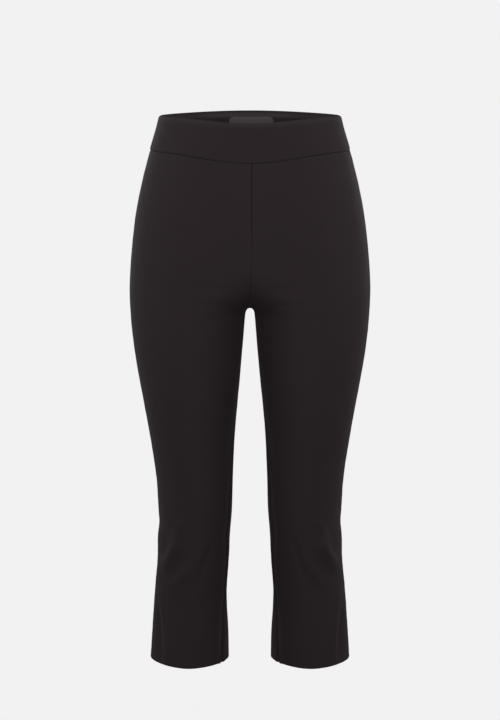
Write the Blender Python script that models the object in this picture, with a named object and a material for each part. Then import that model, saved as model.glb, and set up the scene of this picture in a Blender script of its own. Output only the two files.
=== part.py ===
"""Pull-on capri trousers, hollow and filled out as they hang when worn.

The cloth is a thin wall of six cut pieces, parted by hairline seams: two
fronts, two backs and a two-piece waistband, with a blank label inside the
back of the band. The waist opening is centred on the origin, the front
faces -Y and the wearer's left side is at +X. Everything is in metres.
"""

from collections import namedtuple

import bmesh
import bpy
import numpy as np

# ---------------------------------------------------------------- sizes
MM = 0.001
CLOTH = 2.0 * MM            # wall of a leg piece
BAND_PROUD = 1.0 * MM       # the doubled band stands out this much
SEAM_GAP = 0.3 * MM         # clear space between two sewn pieces

# Waistline and band seam: height at the side seam, and how far the line
# drops at centre front and rises at centre back.
WAIST_LINE = {"side": 0.0, "front_drop": 6.5 * MM, "back_rise": 4.8 * MM}
BAND_SEAM = {"side": -48.5 * MM, "front_drop": 12.5 * MM, "back_rise": 3.0 * MM}
LINES_LEVEL_BY = -0.180     # below this every row of the cloth is level

# Centre seams: each runs straight down, then curves under to the crotch.
CROTCH_Z = -0.2775
CROTCH_Y = 0.005
FRONT_CURVE = {"from_z": -0.205, "fullness": 2.1}
BACK_CURVE = {"from_z": -0.165, "fullness": 2.0}
FORK_RADIUS = 5.0 * MM      # rounding where the legs part

# Close above the crotch the cloth bridges the two legs. height: how far up
# this begins. reach: how far round a leg it draws the cloth in at the crotch,
# and the least share of that further up.
BRIDGE = {"height": 35.0 * MM, "reach": 24.0 * MM, "least": 0.2}

KNEE_Z = -0.565
HEM_Z = -0.801

LABEL = {"half_width": 33.0 * MM, "top": -5.5 * MM, "bottom": -29.0 * MM, "thickness": 0.8 * MM}

# Mesh rows and columns of a leg piece.
FRONT_COLUMNS = 16
BACK_COLUMNS = 14
HIP_ROWS = 6
CURVE_ROWS = 12
FORK_DEPTHS = (1.5 * MM, 4.0 * MM, 9.0 * MM, 17.0 * MM)
THIGH_ROWS = 11
CALF_ROWS = 17
BAND_ROWS = 4
BAND_COLUMNS = 14
LABEL_COLUMNS = 6
LABEL_ROWS = 2
INNER_SHARE = 0.45          # columns between the inner edge and the peak line
FAN_FROM = 0.3              # and how many of those keep to the inner edge's rows
ANCHOR_FROM = -0.080        # columns leave their even spacing here
ANCHOR_BY = -0.200
CURVE_SAMPLES = 40          # points on each quarter turn of a section
SEAM_SAMPLES = 5            # points where the back's cloth passes a seam line
NEARLY_FLAT = 0.9999        # a centre seam level with the cloth beside it
SHARP_ANGLE = 50.0          # degrees; the cloth is smooth but for its cut edges

# Level sections of one side of the garment, in millimetres. side: the side
# seam. front and back: the line that stands furthest out, and how far the
# centre seam lies behind it. roundness: 0.55 is an ellipse, less is pointed.
Section = namedtuple(
    "Section", "z side_x side_y front_x front_y front_dip back_x back_y back_dip roundness"
)
SECTIONS = (
    Section(10, 126.5, 2, 16, -96.0, 0.0, 16, 92.0, 0.0, 0.550),
    Section(-14, 132.6, 2, 18, -98.5, 0.0, 18, 94.5, 0.0, 0.550),
    Section(-48, 142.0, 3, 22, -102.0, 0.0, 24, 101.0, 0.3, 0.550),
    Section(-92, 153.6, 4, 28, -104.5, 0.3, 40, 112.0, 1.2, 0.555),
    Section(-135, 162.8, 5, 38, -104.5, 0.8, 58, 122.0, 2.6, 0.560),
    Section(-178, 168.7, 6, 52, -102.5, 1.4, 72, 127.5, 4.0, 0.560),
    Section(-221, 172.6, 7, 68, -99.5, 2.0, 82, 126.0, 5.0, 0.555),
    Section(-250, 173.9, 7, 78, -97.5, 2.2, 87, 120.0, 5.0, 0.550),
    Section(-280, 172.9, 7, 86, -95.5, 2.2, 90, 111.0, 5.0, 0.545),
    Section(-309, 170.8, 6, 89, -94.0, 0.0, 92, 102.5, 0.0, 0.545),
    Section(-353, 165.4, 5, 90, -91.5, 0.0, 92, 91.0, 0.0, 0.545),
    Section(-412, 155.2, 3, 88, -86.5, 0.0, 89, 78.0, 0.0, 0.540),
    Section(-472, 144.8, 1, 85, -80.0, 0.0, 85, 67.0, 0.0, 0.535),
    Section(-532, 136.4, -2, 82, -73.5, 0.0, 81, 57.5, 0.0, 0.525),
    Section(-577, 134.0, -4, 81, -69.5, 0.0, 80, 52.5, 0.0, 0.515),
    Section(-592, 132.9, -5, 81, -68.0, 0.0, 80, 51.5, 0.0, 0.510),
    Section(-607, 134.6, -5, 82, -66.5, 0.0, 82, 51.5, 0.0, 0.505),
    Section(-653, 136.3, -4, 84, -63.0, 0.0, 84, 55.5, 0.0, 0.490),
    Section(-684, 139.4, -2, 86, -61.0, 0.0, 87, 59.0, 0.0, 0.480),
    Section(-745, 144.2, 0, 88, -60.0, 0.0, 89, 61.0, 0.0, 0.460),
    Section(-801, 148.0, 0, 89, -60.5, 0.0, 89, 60.5, 0.0, 0.440),
)

# Inner side of a leg, in millimetres: the point nearest the other leg, and
# how far the inseam and side seam lie forward of the leg's own sides.
Inner = namedtuple("Inner", "z inner_x inner_y inseam_forward side_forward")
INNER_SIDE = (
    Inner(-277.5, 5.4, 5, 0, 0),
    Inner(-294, 8.0, 4, 0, 0),
    Inner(-353, 12.7, 2, 2, 0),
    Inner(-412, 18.3, 0, 5, 0),
    Inner(-472, 23.6, -2, 10, 2),
    Inner(-532, 25.3, -4, 15, 4),
    Inner(-577, 26.6, -5, 17, 5),
    Inner(-607, 29.1, -5, 18, 5),
    Inner(-645, 31.0, -4, 19, 5),
    Inner(-684, 34.2, -2, 20, 5),
    Inner(-714, 34.1, -1, 21, 5),
    Inner(-760, 31.8, 0, 22, 5),
    Inner(-801, 31.1, 0, 22, 5),
)

# Largest folds, in millimetres, from (x1, z1) to (x2, z2) as seen from the
# front, for a leg at +X. side: 1 wearer's left, -1 right, 0 both legs.
# height: a ridge is positive and a trough negative.
Fold = namedtuple("Fold", "face side x1 z1 x2 z2 width height")
FOLDS = (
    Fold("front", 0, 108, -590, 134, -668, 18, 3.4),
    Fold("front", 0, 98, -606, 122, -684, 20, -2.2),
    Fold("front", 0, 62, -618, 92, -672, 22, 2.0),
    Fold("front", -1, 92, -640, 120, -700, 20, 1.6),
    Fold("front", 1, 70, -640, 100, -690, 18, -1.8),
    Fold("front", 0, 133, -716, 126, -800, 14, 2.0),
    Fold("front", 0, 42, -740, 40, -800, 12, 1.4),
    Fold("front", 0, 134, -560, 118, -604, 24, -2.4),
    Fold("front", -1, 30, -236, 84, -233, 10, -1.6),
    Fold("front", 1, 24, -238, 70, -236, 10, -1.4),
    Fold("front", 0, 18, -263, 62, -262, 9, -1.5),
    Fold("front", 0, 26, -250, 80, -249, 10, 1.0),
    Fold("back", 0, 42, -588, 118, -580, 16, -3.0),
    Fold("back", 0, 50, -608, 126, -622, 16, 2.4),
    Fold("back", 0, 44, -634, 104, -640, 18, -2.2),
    Fold("back", 0, 34, -304, 112, -290, 22, -1.8),
    Fold("back", 0, 40, -330, 100, -316, 22, 1.4),
)

# Colour (linear), roughness and metallic value of each material.
CLOTH_FINISH = ((0.021, 0.016, 0.018, 1.0), 0.85, 0.0)
LABEL_FINISH = ((0.048, 0.042, 0.043, 1.0), 0.60, 0.0)

MIRROR = np.array((-1.0, 1.0, 1.0))


# ------------------------------------------------------------- sections
def read_table(table, z):
    """A table's values at height z, on smooth curves through its rows."""
    rows = np.array(table, float)[::-1] * MM
    heights = rows[:, 0]
    slopes = np.gradient(rows, heights, axis=0)
    z = min(max(z, heights[0]), heights[-1])
    low = min(np.searchsorted(heights, z, side="right") - 1, len(heights) - 2)
    span = heights[low + 1] - heights[low]
    t = (z - heights[low]) / span
    rise = t * t * (3.0 - 2.0 * t)
    values = (
        rows[low] * (1.0 - rise)
        + rows[low + 1] * rise
        + slopes[low] * span * t * (1.0 - t) ** 2
        - slopes[low + 1] * span * t * t * (1.0 - t)
    )
    return type(table[0])(*values)


def quarter(edge, hollow_y, peak, roundness):
    """A quarter turn from an edge to a peak, about a hollow at hollow_y.

    The full turn starts level with the hollow. One that starts nearer the
    peak, as over a centre seam, is the rest of the same turn, drawn wider.
    """
    t = np.linspace(0.0, 1.0, CURVE_SAMPLES)
    rise = 3.0 * t * (1.0 - t) ** 2 * roundness + 3.0 * t * t * (1.0 - t) + t ** 3
    reached = min((edge[1] - hollow_y) / (peak[1] - hollow_y), NEARLY_FLAT)
    t = np.linspace(np.interp(reached, rise, t), 1.0, CURVE_SAMPLES)
    rise = 3.0 * t * (1.0 - t) ** 2 * roundness + 3.0 * t * t * (1.0 - t) + t ** 3
    run = 3.0 * t * t * (1.0 - t) * (1.0 - roundness) + t ** 3
    run = (run - run[0]) / (1.0 - run[0])
    x = edge[0] + (peak[0] - edge[0]) * run
    y = hollow_y + (peak[1] - hollow_y) * rise
    return np.stack((x, y), axis=1)


def centre_seam(z, top_y, curve):
    """How far back the centre seam is at height z."""
    share = min(max((curve["from_z"] - z) / (curve["from_z"] - CROTCH_Z), 0.0), 1.0)
    power = curve["fullness"]
    turn = 1.0 - (1.0 - share ** power) ** (1.0 / power)
    return top_y + (CROTCH_Y - top_y) * turn


def inner_turn(z, inner, peak, top_y, curve, roundness):
    """The turn from a centre seam or inseam to the line that stands out most.

    Near the crotch the cloth bridges the two legs, so the turn starts
    closer to the centre than the leg's own side.
    """
    if z > CROTCH_Z:
        hollow_y = CROTCH_Y
        bridge = max(1.0 - (z - CROTCH_Z) / BRIDGE["height"], 0.0) ** 2
        leg_edge = (inner.inner_x * bridge, centre_seam(z, top_y, curve))
        narrowing = leg_edge[0]
    else:
        hollow_y = inner.inner_y
        bridge = 1.0
        leg_edge = (inner.inner_x, hollow_y)
        depth = min((CROTCH_Z - z) / FORK_RADIUS, 1.0)
        narrowing = inner.inner_x * (1.0 - np.sqrt(1.0 - (1.0 - depth) ** 2))
    turn = quarter(leg_edge, hollow_y, peak, roundness)
    reach = BRIDGE["reach"] * max(bridge, BRIDGE["least"])
    turn[:, 0] -= narrowing * np.exp(-(((turn[:, 1] - leg_edge[1]) / reach) ** 2))
    return turn


def section(z):
    """Plan curves of the +X side at height z, front and back, centre to side."""
    body = read_table(SECTIONS, z)
    inner = read_table(INNER_SIDE, z)
    roundness = body.roundness / MM
    side = (body.side_x, body.side_y)
    faces = (
        ((body.front_x, body.front_y), body.front_y + body.front_dip, FRONT_CURVE),
        ((body.back_x, body.back_y), body.back_y - body.back_dip, BACK_CURVE),
    )
    front, back = [
        np.vstack((
            inner_turn(z, inner, peak, top_y, curve, roundness),
            quarter(side, side[1], peak, roundness)[-2::-1],
        ))
        for peak, top_y, curve in faces
    ]
    peaks = [distances(curve)[CURVE_SAMPLES - 1] for curve in (front, back)]
    if z < CROTCH_Z:
        forward = inner.inseam_forward, inner.side_forward
        front, back = move_seams(front, back, *forward)
        peaks = [peaks[0] - forward[0], peaks[1] + forward[0]]
    return {"front": (front, peaks[0]), "back": (back, peaks[1])}


def distances(curve):
    """Distance of each point of a curve from its start."""
    steps = np.linalg.norm(np.diff(curve, axis=0), axis=1)
    return np.concatenate(((0.0,), np.cumsum(steps)))


def along(curve, wanted):
    """Points at the wanted distances along a curve."""
    reached = distances(curve)
    return np.stack([np.interp(wanted, reached, curve[:, axis]) for axis in range(2)], axis=1)


def move_seams(front, back, inseam_forward, side_forward):
    """Hand the ends of the front's curve to the back, where seams lie forward."""
    reached = distances(front)
    start, stop = inseam_forward, reached[-1] - side_forward
    kept = reached[(reached > start) & (reached < stop)]
    new_front = along(front, np.concatenate(((start,), kept, (stop,))))
    parts = [back]
    if inseam_forward > 0.0:
        parts.insert(0, along(front, np.linspace(start, 0.0, SEAM_SAMPLES))[:-1])
    if side_forward > 0.0:
        parts.append(along(front, np.linspace(reached[-1], stop, SEAM_SAMPLES))[1:])
    return new_front, np.vstack(parts)


# ----------------------------------------------------------------- rows
def line_height(line, face, share):
    """Height of a shaped line, for a share of the way from centre to side.

    The line leaves the centre level and meets the side seam level.
    """
    dip = np.cos(0.5 * np.pi * np.sin(0.5 * np.pi * share)) ** 2
    if face == "front":
        return line["side"] - line["front_drop"] * dip
    return line["side"] + line["back_rise"] * dip


def row_levels():
    """Heights of every row of a leg piece, at its inner edge and further out.

    The inner edge turns under the crotch, so its rows are crowded there.
    """
    top = BAND_SEAM["side"] - 0.5 * SEAM_GAP
    curve_from = FRONT_CURVE["from_z"]
    hip = np.linspace(top, curve_from, HIP_ROWS + 1)[:-1]
    turn = np.sin(0.5 * np.pi * np.linspace(0.0, 1.0, CURVE_ROWS + 1))
    curve = curve_from + (CROTCH_Z - curve_from) * turn
    fork = CROTCH_Z - np.array(FORK_DEPTHS)
    thigh = np.linspace(fork[-1], KNEE_Z, THIGH_ROWS + 1)[1:]
    calf = np.linspace(KNEE_Z, HEM_Z, CALF_ROWS + 1)[1:]
    even = np.linspace(curve_from, fork[-1], CURVE_ROWS + 1 + len(fork))
    inner_levels = np.concatenate((hip, curve, fork, thigh, calf))
    outer_levels = np.concatenate((hip, even, thigh, calf))
    return inner_levels, outer_levels, HIP_ROWS + CURVE_ROWS


def ease(share):
    """A share from 0 to 1, with a soft start and end."""
    share = np.clip(share, 0.0, 1.0)
    return share * share * (3.0 - 2.0 * share)


def row_points(face, heights):
    """Points of one row from the inner edge to the side, each at its height.

    On the hips the columns are evenly spaced. Further down they keep their
    distance from the line that stands out most, so they run straight.
    """
    count = len(heights) - 1
    inner_count = round(count * INNER_SHARE)
    edge_peak = section(heights[0])[face][1]
    points = []
    for index, z in enumerate(heights):
        curve, peak = section(z)[face]
        length = distances(curve)[-1]
        if index < inner_count:
            anchored = peak - edge_peak * (1.0 - index / inner_count)
        else:
            anchored = peak + (length - peak) * (index - inner_count) / (count - inner_count)
        even = length * index / count
        weight = ease((ANCHOR_FROM - z) / (ANCHOR_FROM - ANCHOR_BY))
        wanted = even + (anchored - even) * weight
        points.append((*along(curve, [wanted])[0], z))
    return points


def leg_surface():
    """Rows of points of one whole side, and the row that is at the crotch."""
    inner_levels, outer_levels, crotch_row = row_levels()
    top = inner_levels[0]
    rows = []
    for inner_level, outer_level in zip(inner_levels, outer_levels):
        fade = min(max((inner_level - LINES_LEVEL_BY) / (top - LINES_LEVEL_BY), 0.0), 1.0)
        row = {}
        for face, count in (("front", FRONT_COLUMNS), ("back", BACK_COLUMNS)):
            shares = np.linspace(0.0, 1.0, count + 1)
            outward_share = ease((shares / INNER_SHARE - FAN_FROM) / (1.0 - FAN_FROM))
            heights = inner_level + (outer_level - inner_level) * outward_share
            heights += fade * (line_height(BAND_SEAM, face, shares) - BAND_SEAM["side"])
            row[face] = row_points(face, heights)
        rows.append(row["front"] + row["back"][-2::-1])
    return np.array(rows), crotch_row


def band_surface():
    """Rows of points of one side of the waistband."""
    shares = np.linspace(0.0, 1.0, BAND_COLUMNS + 1)
    rows = []
    for step in np.linspace(0.0, 1.0, BAND_ROWS + 1):
        row = {}
        for face in ("front", "back"):
            top = line_height(WAIST_LINE, face, shares)
            bottom = line_height(BAND_SEAM, face, shares) + 0.5 * SEAM_GAP
            heights = top + (bottom - top) * step
            row[face] = row_points(face, heights)
        rows.append(row["front"] + row["back"][-2::-1])
    return np.array(rows)


def unit(vectors):
    """The same vectors at length one."""
    return vectors / np.linalg.norm(vectors, axis=-1, keepdims=True)


def outward(grid, before, after):
    """Unit normals of a grid, given the columns next to its two edges."""
    wide = np.concatenate((before[:, None], grid, after[:, None]), axis=1)
    across = wide[:, 2:] - wide[:, :-2]
    down = np.gradient(grid, axis=0)
    return unit(np.cross(down, across))


def leg_normals(grid, crotch_row):
    """Normals of one side, smooth over the centre seams and the inseam."""
    before, after = grid[:, -2].copy(), grid[:, 1].copy()
    before[: crotch_row + 1] = grid[: crotch_row + 1, 1] * MIRROR
    after[: crotch_row + 1] = grid[: crotch_row + 1, -2] * MIRROR
    normals = outward(grid, before, after)
    shared = unit(normals[crotch_row:, 0] + normals[crotch_row:, -1])
    normals[crotch_row:, 0] = shared
    normals[crotch_row:, -1] = shared
    return normals


def fold_height(grid, side_y, side):
    """Height of the folds at each point of a leg, along its normal."""
    x, y, z = grid[..., 0], grid[..., 1], grid[..., 2]
    height = np.zeros(x.shape)
    for fold in FOLDS:
        if fold.side not in (0, side):
            continue
        start = np.array((fold.x1, fold.z1)) * MM
        run = np.array((fold.x2, fold.z2)) * MM - start
        t = ((x - start[0]) * run[0] + (z - start[1]) * run[1]) / (run @ run)
        t = np.clip(t, 0.0, 1.0)
        apart = np.hypot(x - start[0] - t * run[0], z - start[1] - t * run[1])
        taper = np.sqrt(np.clip(4.0 * t * (1.0 - t), 0.0, 1.0))
        on_face = y < side_y if fold.face == "front" else y > side_y
        spread = np.exp(-((2.0 * apart / (fold.width * MM)) ** 2))
        height += on_face * taper * spread * fold.height * MM
    return height


# --------------------------------------------------------------- solids
def material(name, finish):
    """A plain surface of one colour."""
    made = bpy.data.materials.get(name)
    if made is None:
        made = bpy.data.materials.new(name)
        made.use_nodes = True
        shader = made.node_tree.nodes["Principled BSDF"]
        colour, roughness, metallic = finish
        shader.inputs["Base Color"].default_value = colour
        shader.inputs["Roughness"].default_value = roughness
        shader.inputs["Metallic"].default_value = metallic
    return made


def wall(name, outer, inner, finish):
    """A closed sheet of cloth between an outer and an inner grid of points."""
    rows, columns = outer.shape[:2]
    shell = bmesh.new()
    layers = [[[shell.verts.new(p) for p in row] for row in grid] for grid in (outer, inner)]
    for layer in layers:
        for r in range(rows - 1):
            for c in range(columns - 1):
                corners = (layer[r][c], layer[r + 1][c], layer[r + 1][c + 1], layer[r][c + 1])
                shell.faces.new(corners)
    rim = [(0, c) for c in range(columns)]
    rim += [(r, columns - 1) for r in range(1, rows)]
    rim += [(rows - 1, c) for c in range(columns - 2, -1, -1)]
    rim += [(r, 0) for r in range(rows - 2, 0, -1)]
    for (r, c), (next_r, next_c) in zip(rim, rim[1:] + rim[:1]):
        near, far = layers
        shell.faces.new((near[r][c], near[next_r][next_c], far[next_r][next_c], far[r][c]))
    bmesh.ops.recalc_face_normals(shell, faces=shell.faces)
    mesh = bpy.data.meshes.new(name)
    shell.to_mesh(mesh)
    shell.free()
    mesh.shade_smooth()
    mesh.set_sharp_from_angle(angle=np.radians(SHARP_ANGLE))
    piece = bpy.data.objects.new(name, mesh)
    piece.data.materials.append(material(*finish))
    bpy.context.collection.objects.link(piece)
    return piece


def leg_pieces(side, side_name, grid, normals, crotch_row):
    """The front and the back of one leg; side is 1 at +X and -1 at -X."""
    side_y = grid[:, FRONT_COLUMNS, 1][:, None]
    outer = grid + fold_height(grid, side_y, side)[..., None] * normals
    inner = outer - CLOTH * normals
    side_run = unit(grid[:, FRONT_COLUMNS + 1] - grid[:, FRONT_COLUMNS - 1])
    inseam_run = unit(grid[:, 1] - grid[:, -2])
    half_gap = 0.5 * SEAM_GAP
    for face in ("front", "back"):
        if face == "front":
            columns, at_side, at_inner, away = slice(0, FRONT_COLUMNS + 1), -1, 0, 1.0
        else:
            columns, at_side, at_inner, away = slice(FRONT_COLUMNS, None), 0, -1, -1.0
        layers = []
        for layer in (outer, inner):
            panel = layer[:, columns].copy()
            panel[:, at_side] -= away * half_gap * side_run
            panel[crotch_row:, at_inner] += away * half_gap * inseam_run[crotch_row:]
            panel[: crotch_row + 1, at_inner, 0] = half_gap
            if side < 0:
                panel = panel * MIRROR
            layers.append(panel)
        wall(face + "_" + side_name, *layers, ("twill_" + face + "_" + side_name, CLOTH_FINISH))


def both_sides(half):
    """A grid mirrored over centre front or back; its first column is there."""
    return np.concatenate((half[:, :0:-1] * MIRROR, half), axis=1)


def waistband():
    """The front and the back of the waistband."""
    grid = band_surface()
    normals = outward(grid, grid[:, 1] * MIRROR, grid[:, -2] * MIRROR)
    outer = grid + BAND_PROUD * normals
    inner = grid - CLOTH * normals
    side_run = unit(grid[:, BAND_COLUMNS + 1] - grid[:, BAND_COLUMNS - 1])
    half_gap = 0.5 * SEAM_GAP
    for face in ("front", "back"):
        layers = []
        for layer in (outer, inner):
            if face == "front":
                half = layer[:, : BAND_COLUMNS + 1].copy()
                half[:, -1] -= half_gap * side_run
            else:
                half = layer[:, BAND_COLUMNS:][:, ::-1].copy()
                half[:, -1] += half_gap * side_run
            half[:, 0, 0] = 0.0
            layers.append(both_sides(half))
        wall("waistband_" + face, *layers, ("twill_band_" + face, CLOTH_FINISH))


def label():
    """A blank woven label, sewn inside the back of the waistband."""
    rows = []
    for z in np.linspace(LABEL["top"], LABEL["bottom"], LABEL_ROWS + 1):
        curve = section(z)["back"][0]
        reach = np.linspace(0.0, LABEL["half_width"], LABEL_COLUMNS + 1)
        rows.append([(*point, z) for point in along(curve, reach)])
    grid = np.array(rows)
    wide = both_sides(grid)
    # This half runs from centre back outward, so its normals are turned round.
    ends = 2.0 * wide[:, (0, -1)] - wide[:, (1, -2)]
    normals = -outward(wide, ends[:, 0], ends[:, 1])
    near = wide - (CLOTH + SEAM_GAP) * normals
    far = near - LABEL["thickness"] * normals
    wall("label", near, far, ("woven_label", LABEL_FINISH))


def build():
    """Clear the scene and make every piece."""
    for old in list(bpy.data.objects):
        bpy.data.objects.remove(old)
    grid, crotch_row = leg_surface()
    normals = leg_normals(grid, crotch_row)
    for side, side_name in ((1, "left"), (-1, "right")):
        leg_pieces(side, side_name, grid, normals, crotch_row)
    waistband()
    label()


build()
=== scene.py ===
"""Pull-on capri pants in dark stretch twill: the finish over their solids.

Laid out as a Blender add-on. Each operator makes one group of pieces: the
legs with the seams inside them, the waistband, the label, or the stage.
Every sheet of cloth is drawn from level sections like those of the solids,
on a finer grid, with its folds, seams and turned edges. Everything is in
metres, +Z is up, the front faces -Y and the wearer's left side is at +X.
"""

from collections import namedtuple
from functools import lru_cache

import bpy
import numpy as np
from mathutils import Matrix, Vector, noise


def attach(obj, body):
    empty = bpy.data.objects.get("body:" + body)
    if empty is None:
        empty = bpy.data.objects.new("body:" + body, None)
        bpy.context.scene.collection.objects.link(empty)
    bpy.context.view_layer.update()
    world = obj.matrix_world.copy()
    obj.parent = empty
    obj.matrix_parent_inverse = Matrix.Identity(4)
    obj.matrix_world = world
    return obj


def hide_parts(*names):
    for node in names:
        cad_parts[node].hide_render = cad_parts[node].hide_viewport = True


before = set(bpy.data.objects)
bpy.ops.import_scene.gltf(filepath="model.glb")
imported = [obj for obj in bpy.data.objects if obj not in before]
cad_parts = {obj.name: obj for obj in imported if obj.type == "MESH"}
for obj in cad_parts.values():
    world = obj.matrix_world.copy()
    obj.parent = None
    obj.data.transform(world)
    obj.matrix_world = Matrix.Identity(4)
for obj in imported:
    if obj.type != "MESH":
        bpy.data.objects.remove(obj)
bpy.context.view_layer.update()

bl_info = {
    "name": "Capri Pants",
    "version": (1, 0, 0),
    "blender": (4, 5, 0),
    "location": "View3D > Sidebar > Capri Pants",
    "description": "Finishes a pair of pull-on capri pants in dark stretch twill",
    "category": "Object",
}

MM = 0.001
BODY = "root"

# ------------------------------------------------------------------ form
# Waistline and band seam: height at the side seam, and how far the line
# drops at centre front and rises at centre back. back_power: with less than
# 1 the rise is broader. corner: how far the line drops beside the side seam.
WAIST_LINE = {
    "side": 0.0, "corner": 1.8 * MM,
    "front_drop": 6.5 * MM, "back_rise": 3.5 * MM, "back_power": 0.5,
}
BAND_SEAM = {
    "side": -48.5 * MM, "corner": 0.0,
    "front_drop": 12.5 * MM, "back_rise": 3.0 * MM, "back_power": 1.0,
}
CORNER = 0.07               # reach of that drop, as a share of a row
LINES_LEVEL_BY = -0.180     # from here down the rows don't bend with the band's seam

# Centre seams: each runs straight down, then curves under to the crotch.
CROTCH_Z = -0.2757
CROTCH_Y = 0.005
FRONT_CURVE = {"from_z": -0.205, "fullness": 2.1}
BACK_CURVE = {"from_z": -0.165, "fullness": 2.0}
FORK_RADIUS = 7.0 * MM      # rounding where the legs part
# Smoothing of the form beside it. apart: how far from the seams it comes in.
# span: how many sizes up and down it is full. least: a smaller size is left out.
FORK_SOFT = {"size": 5.0 * MM, "apart": 10.0 * MM, "least": 0.1 * MM, "span": 4.0}
# There the cloth bridges the legs: how far up, how far outwards, and the
# least share of that.
BRIDGE = {"height": 35.0 * MM, "reach": 24.0 * MM, "least": 0.2}
NEARLY_FLAT = 0.9999        # a centre seam level with the cloth beside it

KNEE_Z = -0.565
HEM_Z = -0.801
BAND_OUT = 1.0 * MM         # the band's outer face stands this far out
BAND_IN = 2.0 * MM          # and its inner face lies this far in
LEG_IN = 2.0 * MM           # inner face of a turned-up hem

# Level sections of one side of the garment, in millimetres. side: the side
# seam. front and back: the line that stands furthest out, and how far the
# centre seam lies behind it. roundness: 0.55 is an ellipse, less is pointed.
Section = namedtuple(
    "Section", "z side_x side_y front_x front_y front_dip back_x back_y back_dip roundness"
)
SECTIONS = (
    Section(10, 126.0, 2, 16, -96.0, 0.0, 16, 92.0, 0.0, 0.550),
    Section(-14, 131.8, 2, 18, -98.5, 0.0, 18, 94.5, 0.0, 0.550),
    Section(-48, 142.0, 3, 22, -102.0, 0.0, 24, 101.0, 0.3, 0.550),
    Section(-92, 153.6, 4, 28, -104.5, 0.3, 40, 112.0, 1.2, 0.555),
    Section(-135, 162.8, 5, 38, -104.5, 0.8, 58, 122.0, 2.6, 0.560),
    Section(-178, 168.7, 6, 52, -102.5, 1.4, 72, 127.5, 4.0, 0.560),
    Section(-221, 172.6, 7, 68, -99.5, 2.0, 82, 126.0, 5.0, 0.555),
    Section(-250, 173.9, 7, 78, -97.5, 2.2, 87, 120.0, 5.0, 0.550),
    Section(-280, 172.9, 7, 86, -95.5, 2.2, 90, 111.0, 5.0, 0.545),
    Section(-309, 170.8, 6, 89, -94.0, 0.0, 92, 102.5, 0.0, 0.545),
    Section(-353, 165.4, 5, 90, -91.5, 0.0, 92, 91.0, 0.0, 0.545),
    Section(-412, 155.2, 3, 88, -86.5, 0.0, 89, 78.0, 0.0, 0.540),
    Section(-472, 144.8, 1, 85, -80.0, 0.0, 85, 67.0, 0.0, 0.535),
    Section(-532, 136.4, -2, 82, -73.5, 0.0, 81, 57.5, 0.0, 0.525),
    Section(-577, 134.0, -4, 81, -69.5, 0.0, 80, 52.5, 0.0, 0.515),
    Section(-592, 132.9, -5, 81, -68.0, 0.0, 80, 51.5, 0.0, 0.510),
    Section(-607, 134.6, -5, 82, -66.5, 0.0, 82, 51.5, 0.0, 0.505),
    Section(-653, 136.3, -4, 84, -63.0, 0.0, 84, 55.5, 0.0, 0.490),
    Section(-684, 139.4, -2, 86, -61.0, 0.0, 87, 59.0, 0.0, 0.480),
    Section(-745, 144.2, 0, 88, -60.0, 0.0, 89, 61.0, 0.0, 0.460),
    Section(-801, 148.0, 0, 89, -60.5, 0.0, 89, 60.5, 0.0, 0.440),
)

# Inner side of a leg, in millimetres: the point nearest the other leg, and
# how far the inseam and side seam lie forward of the leg's own sides.
Inner = namedtuple("Inner", "z inner_x inner_y inseam_forward side_forward")
INNER_SIDE = (
    Inner(-275.7, 5.3, 5, 0, 0),
    Inner(-294, 7.3, 4, 0, 0),
    Inner(-321, 9.6, 3, 0.8, 0),
    Inner(-353, 12.5, 2, 2, 0),
    Inner(-412, 18.3, 0, 8, 0),
    Inner(-472, 23.6, -2, 17, 2),
    Inner(-532, 25.3, -4, 25, 4),
    Inner(-577, 26.6, -5, 27, 5),
    Inner(-607, 29.1, -5, 26, 5),
    Inner(-645, 31.0, -4, 20, 5),
    Inner(-684, 34.2, -2, 17.5, 5),
    Inner(-714, 34.1, -1, 22, 5),
    Inner(-760, 31.8, 0, 30, 5),
    Inner(-801, 31.1, 0, 32, 5),
)

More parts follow.
